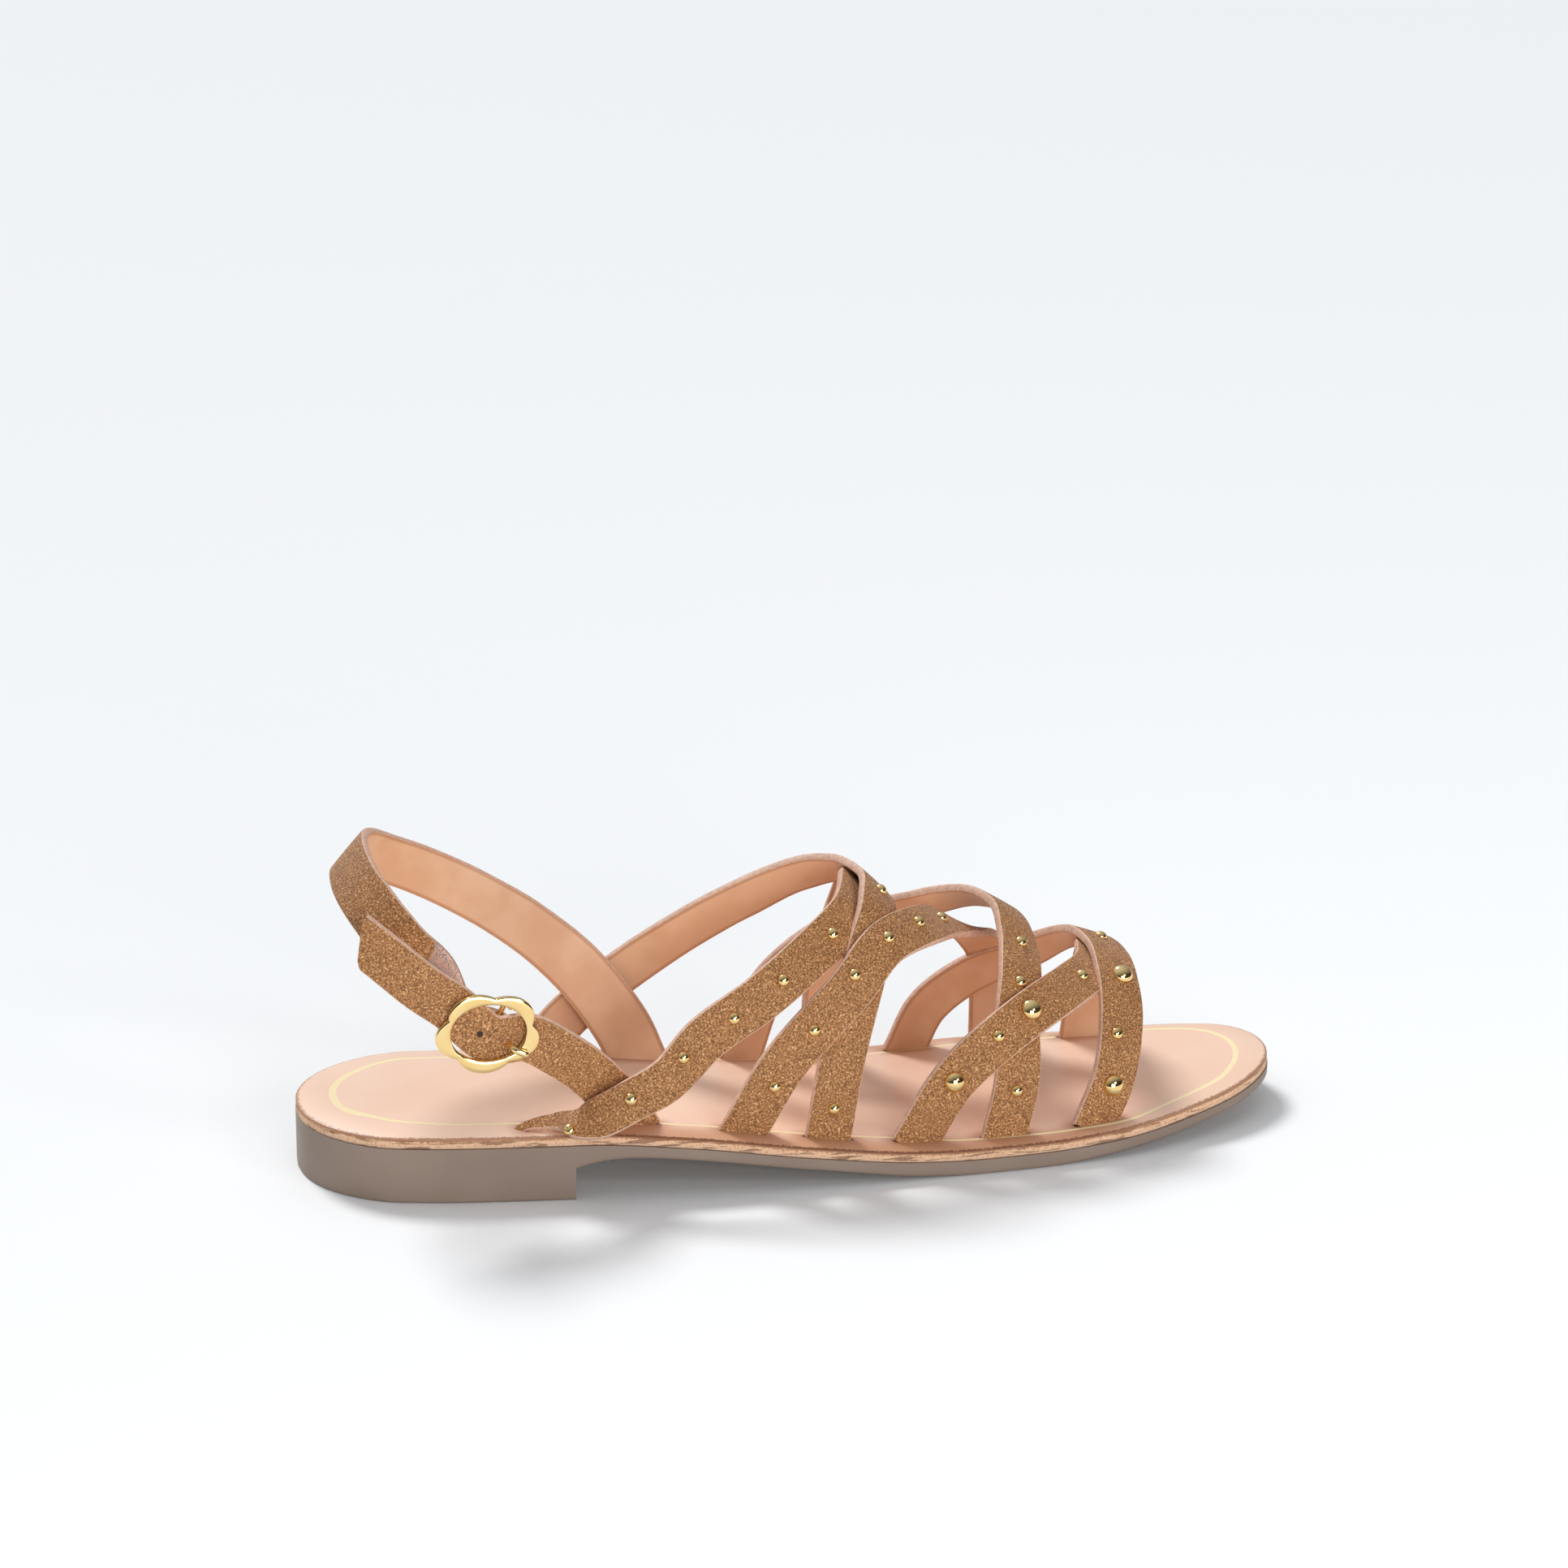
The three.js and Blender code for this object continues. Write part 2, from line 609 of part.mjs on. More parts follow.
// Everything below the insole, which cuts strap ends flush with its underside.
function ground() {
  const margin = 30;
  const deep = 30;
  const rings = soleStations([]).map((x) => {
    const { outer, inner } = edgesAt(x);
    const top = seat(x) + clearance;
    return [
      new THREE.Vector3(x, outer - margin, top), new THREE.Vector3(x, outer - margin, -deep),
      new THREE.Vector3(x, inner + margin, -deep), new THREE.Vector3(x, inner + margin, top),
    ];
  });
  return toSolid(loft(rings));
}

const place = (row) => new THREE.Vector3(X(row.at), row.across * slingSpread, row.up * slingHeight);

function slingFrames() {
  const points = slingPath.map(place);
  const facing = slingPath.map((row, i) => {
    const before = points[Math.max(i - 1, 0)];
    const after = points[Math.min(i + 1, points.length - 1)];
    const along = after.clone().sub(before).normalize();
    const lean = THREE.MathUtils.degToRad(row.lean);
    const wide = new THREE.Vector3(Math.sin(lean), 0, Math.cos(lean));
    return new THREE.Vector3().crossVectors(along, wide).normalize();
  });
  const widths = slingPath.map((row) => row.width);
  return extend(frames(points, facing, slingSections, widths), slingFootReach, false);
}

function buckleStrapFrames() {
  const points = buckleStrapPath.map(place);
  const facing = buckleStrapPath.map((row) => {
    const angle = THREE.MathUtils.degToRad(row.turnIn);
    return new THREE.Vector3(-Math.sin(angle), -Math.cos(angle), 0);
  });
  return extend(frames(points, facing, buckleStrapSections), footReach, false);
}

function frameAt(list, share) {
  const place = share * (list.length - 1);
  const i = Math.min(Math.floor(place), list.length - 2);
  const s = place - i;
  const mix = (key) => list[i][key].clone().lerp(list[i + 1][key], s);
  return {
    point: mix('point'), along: mix('along').normalize(),
    out: mix('out').normalize(), wide: mix('wide').normalize(),
  };
}

const object = new THREE.Group();
const shoe = new THREE.Group();
object.add(shoe);

function addMesh(name, geometry, look, parent = shoe) {
  const mesh = new THREE.Mesh(geometry, new THREE.MeshStandardMaterial(finish[look]));
  mesh.name = name;
  parent.add(mesh);
  return mesh;
}

addMesh('outsole', outsoleGeometry(), 'rubber');

const below = ground();
const straps = {};
for (const [key, rows] of Object.entries(strapPaths)) {
  straps[key] = strapFrames(rows, key === '1' ? gatherRows : []);
}
const sling = slingFrames();
const buckleStrap = buckleStrapFrames();

let insole = toSolid(insoleBlank());
let upper = null;
for (const list of Object.values(straps)) {
  insole = insole.subtract(toSolid(band(list, strapWidth, strapThickness, clearance)));
  const strap = toSolid(band(list, strapWidth, strapThickness));
  upper = upper ? upper.add(strap) : strap;
}
const footRings = 6;
const looseFeet = [[sling, slingWidth], [buckleStrap, buckleStrapWidth]];
for (const [list, width] of looseFeet) {
  insole = insole.subtract(toSolid(band(list.slice(0, footRings), width, strapThickness, clearance)));
}
addMesh('insole', toGeometry(insole), 'insole');
// The largest shell is the joined upper; the others are closed pockets inside its bonds.
const shells = upper.subtract(below).decompose().sort((a, b) => b.volume() - a.volume());
addMesh('upper', toGeometry(shells[0]), 'suede');
const slingBand = toSolid(band(sling, slingWidth, strapThickness)).subtract(below);
addMesh('sling_strap', toGeometry(slingBand), 'suede');

// Buckle axes: forward towards the strap's foot, up across the strap, and out of its face. The origin
// is on the strap's inner face, and the buckle follows the strap's run from one of its sides to the
// other, as the strap sags inside the ring.
const seatFrame = frameAt(buckleStrap, buckleAt);
const footSide = frameAt(buckleStrap, buckleAt - ringSpan / 2);
const tailSide = frameAt(buckleStrap, buckleAt + ringSpan / 2);
const across = new THREE.Vector3().crossVectors(seatFrame.out, footSide.point.clone().sub(tailSide.point));
across.normalize();
const forward = new THREE.Vector3().crossVectors(across, seatFrame.out);
const buckleAxes = new THREE.Matrix4().makeBasis(forward, across, seatFrame.out);
buckleAxes.setPosition(seatFrame.point);
const atBuckle = (geometry) => toSolid(geometry.applyMatrix4(buckleAxes));

const plateBack = strapThickness + clearance;
const plateFront = plateBack + bucklePlate;
const barDepth = barDiameter / 2 + 2 * clearance + elasticThickness;

// Flower-shaped ring of the buckle with bevelled front edges.
function flowerRing() {
  const steps = 60;
  const positions = [];
  const index = [];
  const tilt = THREE.MathUtils.degToRad(buckleTurn);
  for (let i = 0; i < steps; i += 1) {
    const angle = (2 * Math.PI * i) / steps;
    const lobe = Math.abs(Math.sin((petals * (angle - THREE.MathUtils.degToRad(petalTurn))) / 2));
    const reach = 1 - petalDepth * (1 - lobe);
    const spoke = (length, height, shrink, z) => {
      const x = (length / 2 - shrink) * Math.cos(angle);
      const y = (height / 2 - shrink) * Math.sin(angle);
      positions.push(x * Math.cos(tilt) - y * Math.sin(tilt), x * Math.sin(tilt) + y * Math.cos(tilt), z);
    };
    const [outerLength, outerHeight] = [buckleLength * reach, buckleHeight * reach];
    spoke(outerLength, outerHeight, 0, plateBack);
    spoke(outerLength, outerHeight, 0, plateFront - buckleBevel);
    spoke(outerLength, outerHeight, buckleBevel, plateFront);
    spoke(buckleOpeningLength, buckleOpeningHeight, -buckleBevel, plateFront);
    spoke(buckleOpeningLength, buckleOpeningHeight, 0, plateFront - buckleBevel);
    spoke(buckleOpeningLength, buckleOpeningHeight, 0, plateBack);
    for (let k = 0; k < 6; k += 1) {
      const next = (k + 1) % 6;
      const after = ((i + 1) % steps) * 6;
      index.push(i * 6 + k, i * 6 + next, after + k, i * 6 + next, after + next, after + k);
    }
  }
  const geometry = new THREE.BufferGeometry();
  geometry.setAttribute('position', new THREE.Float32BufferAttribute(positions, 3));
  geometry.setIndex(index);
  return faceOut(geometry);
}

// Round wire through points.
function wire(points, diameter, count, sides = 8) {
  const aside = new THREE.Vector3(0.2, 0.9, 0.3);
  const facing = points.map(() => aside);
  const rings = frames(points, facing, count).map((f) => {
    const ring = [];
    for (let k = 0; k < sides; k += 1) {
      const angle = (2 * Math.PI * k) / sides;
      ring.push(f.point.clone().addScaledVector(f.wide, (diameter / 2) * Math.cos(angle))
        .addScaledVector(f.out, (diameter / 2) * Math.sin(angle)));
    }
    return ring;
  });
  return loft(rings);
}

function rod(diameter, length, sides) {
  return new THREE.CylinderGeometry(diameter / 2, diameter / 2, length, sides);
}

// Bar behind the strap on two legs from the ring, the lower one close to the strap's edge.
const legTop = plateBack + bucklePlate / 2;
const legReach = legTop + barDepth;
const barBottom = -(buckleStrapWidth + barDiameter) / 2 - clearance;
const barLength = barTop - barBottom + barDiameter;
const bar = rod(barDiameter, barLength, 10).translate(barAhead, (barTop + barBottom) / 2, -barDepth);
let buckle = atBuckle(flowerRing().translate(0, buckleRise, 0)).add(atBuckle(bar));
for (const side of [barBottom, barTop]) {
  const leg = rod(barDiameter, legReach, 10).rotateX(Math.PI / 2);
  buckle = buckle.add(atBuckle(leg.translate(barAhead, side, legTop - legReach / 2)));
}
addMesh('buckle', toGeometry(buckle), 'gold');

// Prong: an eye round the bar, up through the strap and over the ring.
function prongSolid(spare) {
  const over = plateFront + clearance + prongDiameter / 2;
  const throughStrap = barAhead + 3.2;
  const wireSections = 16;
  const rise = [
    [barAhead + 1.6, -barDepth], [barAhead + 2.6, -barDepth / 2], [throughStrap, strapThickness - 0.4],
    [throughStrap + 1.4, over - 0.4], [throughStrap + 3, over], [prongReach, over],
  ].map(([x, z]) => new THREE.Vector3(x, prongRise, z));
  return atBuckle(wire(rise, prongDiameter + 2 * spare, wireSections));
}
const eyeBore = barDiameter + 2 * clearance;
const eyeRim = eyeBore + 2 * elasticThickness;
const eye = atBuckle(rod(eyeRim, prongDiameter, 16).translate(barAhead, prongRise, -barDepth));
const bore = atBuckle(rod(eyeBore, 3 * prongDiameter, 16).translate(barAhead, prongRise, -barDepth));
addMesh('prong', toGeometry(prongSolid(0).add(eye).subtract(bore)), 'gold');

// Buckle strap with its slanted tail, the hole that the prong goes through and a spare one.
let buckleBand = toSolid(band(buckleStrap, buckleStrapWidth, strapThickness, 0, tailBevel));
buckleBand = buckleBand.subtract(below).subtract(prongSolid(clearance / 2));
const punch = rod(punchDiameter, 4 * strapThickness, 10).rotateX(Math.PI / 2);
buckleBand = buckleBand.subtract(atBuckle(punch.translate(-punchBehind, 0, 0)));
addMesh('buckle_strap', toGeometry(buckleBand), 'suede');

// Elastic from inside the sling's end to a loop round the bar, slotted for the prong's eye.
const slingEnd = sling[sling.length - 1];
const tuck = sling[sling.length - 3];
const inward = -clearance - elasticThickness;
const beside = -barDepth - elasticThickness / 2;
const nearBar = (x) => new THREE.Vector3(barAhead + x, 0, beside).applyMatrix4(buckleAxes);
const elasticPoints = [
  tuck.point.clone().addScaledVector(tuck.out, inward),
  slingEnd.point.clone().addScaledVector(slingEnd.out, inward),
  nearBar(-2.5 * eyeBore),
  nearBar(0),
];
const elasticFacing = [tuck.out, slingEnd.out, seatFrame.out, seatFrame.out];
const elasticBand = toSolid(band(frames(elasticPoints, elasticFacing, 12), elasticWidth, elasticThickness));
const sleeve = atBuckle(rod(eyeRim, elasticWidth, 16).translate(barAhead, 0, -barDepth));
const hollow = atBuckle(rod(eyeBore, 2 * elasticWidth, 16).translate(barAhead, 0, -barDepth));
const slotSize = prongDiameter + 2 * clearance;
const slotReach = eyeRim + 2;
const slotAhead = 0.6;
const slotBox = new THREE.BoxGeometry(slotReach, slotSize, slotReach);
const slot = atBuckle(slotBox.translate(barAhead + slotAhead, prongRise, -barDepth));
addMesh('elastic', toGeometry(elasticBand.add(sleeve).subtract(hollow).subtract(slot)), 'elastic');

// Domed studs.
function studGeometry(diameter) {
  const radius = diameter / 2;
  const rise = diameter * studRise;
  const profile = [
    new THREE.Vector2(0, 0), new THREE.Vector2(radius, 0),
    new THREE.Vector2(0.87 * radius, 0.5 * rise), new THREE.Vector2(0.5 * radius, 0.87 * rise),
    new THREE.Vector2(0, rise),
  ];
  return new THREE.LatheGeometry(profile, 10);
}
for (const [key, rows] of Object.entries(studRows)) {
  rows.forEach(([share, large, shift], i) => {
    const frame = frameAt(straps[key], share);
    const mesh = addMesh(`stud_${key}_${i + 1}`, studGeometry(large ? largeStud : smallStud), 'gold');
    mesh.position.copy(frame.point).addScaledVector(frame.out, strapThickness + clearance)
      .addScaledVector(frame.wide, shift * strapWidth);
    mesh.quaternion.setFromUnitVectors(new THREE.Vector3(0, 1, 0), frame.out);
  });
}

// The middle of the shoe's own box stands over the origin.
const box = new THREE.Box3().setFromObject(shoe);
shoe.position.set(-(box.min.x + box.max.x) / 2, -(box.min.y + box.max.y) / 2, 0);

export default object;
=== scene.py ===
"""Looks of the studded strap sandal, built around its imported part.

The shoe is described in millimetres with X from the heel back to the toe, Y from the outer to the
inner side and Z up from the floor. Every piece is built in those axes and then shifted into the
part's own frame, in metres.
"""

import logging
import math
from dataclasses import dataclass
from enum import Enum, IntEnum
from typing import Any, NamedTuple, Sequence

import bpy
import numpy as np
from mathutils import Matrix, Vector

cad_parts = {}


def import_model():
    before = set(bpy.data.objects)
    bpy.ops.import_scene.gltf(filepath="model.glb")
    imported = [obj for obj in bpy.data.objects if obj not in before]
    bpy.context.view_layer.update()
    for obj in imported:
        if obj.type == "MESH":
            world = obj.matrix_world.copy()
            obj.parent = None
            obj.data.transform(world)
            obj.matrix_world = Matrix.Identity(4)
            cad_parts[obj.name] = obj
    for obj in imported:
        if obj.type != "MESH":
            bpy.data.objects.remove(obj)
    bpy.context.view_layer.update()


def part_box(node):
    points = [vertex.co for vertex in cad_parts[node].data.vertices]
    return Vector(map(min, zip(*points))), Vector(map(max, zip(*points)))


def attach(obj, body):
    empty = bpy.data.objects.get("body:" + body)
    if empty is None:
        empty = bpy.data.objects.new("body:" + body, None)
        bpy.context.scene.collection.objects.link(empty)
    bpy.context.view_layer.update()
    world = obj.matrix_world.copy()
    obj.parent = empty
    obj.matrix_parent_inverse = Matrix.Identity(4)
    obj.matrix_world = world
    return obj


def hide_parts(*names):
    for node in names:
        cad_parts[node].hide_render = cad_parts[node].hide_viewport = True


LOG = logging.getLogger("sandal")
MM = 0.001

# Sizes of the part
SOLE_LENGTH = 221.0
BALL_WIDTH = 72.0
HEEL_WIDTH = 56.0
HEEL_HEIGHT = 12.4
HEEL_BLOCK = 56.3
BREAST_HEIGHT = 7.0
BREAST_FILLET = 24.0
FOREFOOT_SOLE = 3.4
SHANK_SOLE = 2.7
TOE_SPRING = 5.2
INSOLE_THICKNESS = 2.6
INSOLE_LEDGE = 0.6
RIM_DROP = 0.7
RIM_ROUND = 0.3
SLIT_INSET = 6.6
SLIT_DEPTH = 0.5
SLING_BEVEL = 3.5
CLEARANCE = 0.3
INSTEP_HEIGHT = 56.0
SLING_HEIGHT = 71.0
SLING_SPREAD = 30.0
STRAP_WIDTH = 10.2
SLING_WIDTH = 13.0
BUCKLE_STRAP_WIDTH = 10.6
TAIL_BEVEL = 6.5
ELASTIC_WIDTH = 9.0
STRAP_THICKNESS = 1.8
ELASTIC_THICKNESS = 1.2
CROWN_SHIFT = 4.0
SMALL_STUD = 2.8
LARGE_STUD = 4.8
STUD_RISE = 0.42
BUCKLE_LENGTH = 23.0
BUCKLE_HEIGHT = 18.1
OPENING_LENGTH = 16.4
OPENING_HEIGHT = 12.6
BUCKLE_PLATE = 1.3
BUCKLE_TURN = 28.0
BUCKLE_RISE = 1.5
BUCKLE_AT = 0.56
RING_SPAN = 0.26
PETALS = 5
PETAL_DEPTH = 0.16
PETAL_TURN = 8.0
BAR_DIAMETER = 1.3
BAR_TOP = 8.4
BAR_AHEAD = 2.0
PRONG_DIAMETER = 1.5
PRONG_REACH = 9.8
PRONG_RISE = 0.6
PUNCH_DIAMETER = 1.5
PUNCH_BEHIND = 1.3

# Sections of the part's strap solids. The places of studs and buckle count them and the sunk feet.
STRAP_SECTIONS = 36
FIRST_STRAP_SECTIONS = 60
BUCKLE_STRAP_SECTIONS = 28

Array = np.ndarray


class Slot(Enum):
    """Material slot names."""

    OUTSOLE = "outsole_rubber"
    INSOLE = "insole_leather"
    STRAP = "strap_fabric"
    ELASTIC = "elastic_fabric"
    GOLD = "pale_gold"


class Side(IntEnum):
    """Material numbers on a strap."""

    FABRIC = 0
    LINING = 1
    EDGE = 2


class OutlineRow(NamedTuple):
    """Insole edges: shares of sole length and of ball width."""

    at: float
    outer: float
    inner: float


class ProfileRow(NamedTuple):
    """Outsole top: shares of the drop to the forefoot and of the toe spring."""

    at: float
    drop: float
    spring: float


class ShareRow(NamedTuple):
    """One value along the foot."""

    at: float
    value: float


class LineRow(NamedTuple):
    """Printed line: its inset along the outer and the inner edge."""

    at: float
    outer: float
    inner: float


class LastRow(NamedTuple):
    """Strap path on the last: turn across, place along, lift in thicknesses, roll in degrees."""

    turn: float
    at: float
    lift: float
    roll: float


class GatherRow(NamedTuple):
    """Gathered foot of the first strap, above the insole."""

    at: float
    across: float
    rise: float
    tilt: float
    width: float


class FreeRow(NamedTuple):
    """Free strap: shares of length, spread and height, its angle in degrees and width share."""

    at: float
    across: float
    up: float
    angle: float
    width: float = 1.0


class StudRow(NamedTuple):
    """Stud: share along the strap, large or not, shift as a share of strap width."""

    along: float
    large: bool
    shift: float


OUTLINE = [
    OutlineRow(0.15, -0.408, 0.379), OutlineRow(0.25, -0.446, 0.328),
    OutlineRow(0.36, -0.479, 0.297), OutlineRow(0.47, -0.500, 0.350),
    OutlineRow(0.57, -0.501, 0.426), OutlineRow(0.66, -0.492, 0.483),
    OutlineRow(0.74, -0.472, 0.492), OutlineRow(0.82, -0.428, 0.447),
    OutlineRow(0.89, -0.339, 0.400), OutlineRow(0.94, -0.250, 0.339),
    OutlineRow(0.975, -0.144, 0.268), OutlineRow(0.994, -0.040, 0.175),
]
TIP_SHIFT = 0.07

PROFILE = [
    ProfileRow(0, 0, 0), ProfileRow(0.27, 0, 0), ProfileRow(0.37, 0.2, 0),
    ProfileRow(0.49, 0.62, 0), ProfileRow(0.60, 0.94, 0), ProfileRow(0.66, 1, 0),
    ProfileRow(0.73, 1, 0), ProfileRow(0.78, 1, 0.07), ProfileRow(0.85, 1, 0.27),
    ProfileRow(0.92, 1, 0.58), ProfileRow(1, 1, 1),
]

SOLE_THICKNESS = [
    ShareRow(0.29, 0), ShareRow(0.50, 0.1), ShareRow(0.60, 0.85), ShareRow(0.66, 1),
    ShareRow(0.73, 1), ShareRow(0.82, 0), ShareRow(1, -0.6),
]

LAST_HEIGHT = [
    ShareRow(0.18, 1.08), ShareRow(0.36, 1.00), ShareRow(0.54, 0.91), ShareRow(0.60, 0.82),
    ShareRow(0.65, 0.735), ShareRow(0.70, 0.65), ShareRow(0.78, 0.545), ShareRow(0.86, 0.46),
    ShareRow(0.98, 0.34),
]
SIDE_FULLNESS = 0.80
CROWN_FULLNESS = 0.92

# Distance of the printed gold line from the insole's edge, in millimetres.
GOLD_LINE = [
    LineRow(0.0, 7.9, 7.9), LineRow(0.042, 8.1, 8.1), LineRow(0.066, 9.4, 7.9),
    LineRow(0.11, 8.3, 6.8), LineRow(0.15, 7.2, 6.7), LineRow(0.36, 6.9, 6.7),
    LineRow(0.47, 7.5, 6.7), LineRow(0.57, 7.7, 6.7), LineRow(0.64, 5.1, 6.7),
    LineRow(0.70, 4.5, 6.6), LineRow(0.76, 3.9, 6.0), LineRow(0.82, 3.2, 5.4),
    LineRow(0.86, 4.4, 5.0), LineRow(0.90, 5.0, 4.7), LineRow(0.93, 5.2, 4.6),
    LineRow(0.955, 6.4, 6.1), LineRow(0.972, 7.5, 7.5), LineRow(1.0, 8.0, 8.0),
]

STRAPS: dict[int, list[LastRow]] = {
    1: [
        LastRow(0.11, 0.388, 1.0, 0), LastRow(0.17, 0.442, 0.4, 0), LastRow(0.25, 0.496, 0, 0),
        LastRow(0.36, 0.547, -0.3, 6), LastRow(0.50, 0.572, -0.8, 14),
        LastRow(0.64, 0.580, -0.2, 8), LastRow(0.80, 0.572, 0.6, 0),
        LastRow(0.91, 0.560, 0.6, 0), LastRow(1, 0.557, 0, 0),
    ],
    2: [
        LastRow(0, 0.424, 0, 0), LastRow(0.09, 0.466, 0.4, 0), LastRow(0.20, 0.530, 1, 0),
        LastRow(0.30, 0.572, 1, 0), LastRow(0.40, 0.624, 0.2, 6), LastRow(0.50, 0.664, -1.1, 10),
        LastRow(0.58, 0.688, -1.5, 8), LastRow(0.66, 0.708, -1.2, 0), LastRow(0.74, 0.724, 0, 0),
        LastRow(0.81, 0.735, 1, 0), LastRow(0.90, 0.739, 0.4, 0), LastRow(1, 0.739, 0, 0),
    ],
    3: [
        LastRow(0, 0.508, 0, 0), LastRow(0.10, 0.523, 0, 0), LastRow(0.26, 0.554, 0, 0),
        LastRow(0.38, 0.571, 0.7, 14), LastRow(0.47, 0.578, 0.5, 20), LastRow(0.56, 0.559, 0, 14),
        LastRow(0.65, 0.522, -0.3, 4), LastRow(0.75, 0.463, -0.2, 0), LastRow(0.82, 0.416, 1.2, 0),
        LastRow(0.90, 0.350, 3.0, 0), LastRow(0.96, 0.290, 2.2, 0), LastRow(1, 0.252, 0.6, 0),
    ],
    4: [
        LastRow(0, 0.597, 0, 0), LastRow(0.09, 0.635, 0.4, 0), LastRow(0.17, 0.680, 1, 0),
        LastRow(0.25, 0.728, 1, 0), LastRow(0.33, 0.772, 0.4, 2), LastRow(0.42, 0.806, -0.1, 8),
        LastRow(0.52, 0.822, -0.2, 10), LastRow(0.65, 0.835, -0.1, 4), LastRow(0.80, 0.838, 0, 0),
        LastRow(0.90, 0.836, 0, 0), LastRow(1, 0.832, 0, 0),
    ],
    5: [
        LastRow(0, 0.688, 0, 0), LastRow(0.10, 0.702, 0, 0), LastRow(0.22, 0.707, 0, 0),
        LastRow(0.34, 0.717, 0.4, 6), LastRow(0.43, 0.722, 0.9, 12), LastRow(0.50, 0.714, 2.8, 14),
        LastRow(0.57, 0.690, 2.6, 10), LastRow(0.65, 0.652, 0.8, 4), LastRow(0.74, 0.598, -0.7, 0),
        LastRow(0.83, 0.540, -0.5, 0), LastRow(0.91, 0.492, -0.3, 0), LastRow(1, 0.465, 0, 0),
    ],
    6: [
        LastRow(0, 0.784, 0, 0), LastRow(0.10, 0.805, 0, 0), LastRow(0.25, 0.819, 0, 0),
        LastRow(0.37, 0.822, 0.5, 8), LastRow(0.47, 0.823, 0.9, 12), LastRow(0.57, 0.814, 1, 8),
        LastRow(0.66, 0.796, 0.6, 0), LastRow(0.76, 0.764, 0, 0), LastRow(0.85, 0.714, 0, 0),
        LastRow(0.93, 0.671, 0, 0), LastRow(1, 0.648, 0, 0),
    ],
}

GATHER = [
    GatherRow(0.190, -0.350, -0.090, 40, 0.22), GatherRow(0.209, -0.366, -0.012, 50, 0.22),
    GatherRow(0.232, -0.382, 0.010, 52, 0.33), GatherRow(0.248, -0.402, 0.020, 53, 0.46),
    GatherRow(0.262, -0.438, 0.028, 45, 0.74), GatherRow(0.280, -0.458, 0.060, 37, 0.9),
    GatherRow(0.308, -0.464, 0.128, 22, 0.9), GatherRow(0.345, -0.452, 0.216, 12, 0.94),
]

SLING = [
    FreeRow(0.355, 0.46, 0.190, 62, 1), FreeRow(0.340, 0.48, 0.300, 60, 1),
    FreeRow(0.298, 0.56, 0.487, 49, 0.97), FreeRow(0.249, 0.68, 0.624, 34, 0.92),
    FreeRow(0.198, 0.79, 0.725, 31, 0.88), FreeRow(0.147, 0.76, 0.817, 34, 0.86),
    FreeRow(0.107, 0.63, 0.886, 38, 0.86), FreeRow(0.076, 0.38, 0.952, 41, 0.87),
    FreeRow(0.061, 0, 0.982, 41, 0.87), FreeRow(0.061, -0.36, 0.952, 42, 0.87),
    FreeRow(0.074, -0.64, 0.893, 47, 0.88), FreeRow(0.094, -0.84, 0.816, 50, 0.9),
    FreeRow(0.118, -0.91, 0.735, 50, 0.92),
]

BUCKLE_STRAP = [
    FreeRow(0.317, -0.88, 0.203, 0), FreeRow(0.308, -0.89, 0.256, 0),
    FreeRow(0.287, -0.92, 0.338, 0), FreeRow(0.266, -0.965, 0.408, 0),
    FreeRow(0.241, -1.03, 0.474, 2), FreeRow(0.208, -1.07, 0.538, 0),
    FreeRow(0.173, -1.08, 0.542, 0), FreeRow(0.136, -1.08, 0.650, 0),
    FreeRow(0.106, -1.07, 0.722, 4), FreeRow(0.080, -1.04, 0.795, 10),
    FreeRow(0.041, -0.95, 0.899, 16),
]

STUDS: dict[int, list[StudRow]] = {
    1: [StudRow(0.119, False, -0.26), StudRow(0.194, False, 0.04), StudRow(0.275, False, 0.1),
        StudRow(0.355, False, 0), StudRow(0.431, False, 0), StudRow(0.518, False, 0)],
    2: [StudRow(0.110, False, -0.08), StudRow(0.212, False, 0), StudRow(0.312, False, 0.13),
        StudRow(0.392, False, 0.06), StudRow(0.468, False, 0.06), StudRow(0.556, False, 0)],
    3: [StudRow(0.068, False, 0), StudRow(0.383, False, 0)],
    4: [StudRow(0.154, True, 0), StudRow(0.266, False, 0.05), StudRow(0.346, True, 0.04),
        StudRow(0.495, False, 0)],
    5: [StudRow(0.097, False, 0), StudRow(0.260, False, 0.04), StudRow(0.342, False, 0)],
    6: [StudRow(0.102, True, 0), StudRow(0.195, False, 0.13), StudRow(0.317, True, -0.08),
        StudRow(0.448, False, 0)],
}


def along(share: float) -> float:
    """Place along the foot in millimetres.

    Args:
        share: Share of the sole's length.

    Returns:
        The distance from the heel back.
    """
    return share * SOLE_LENGTH


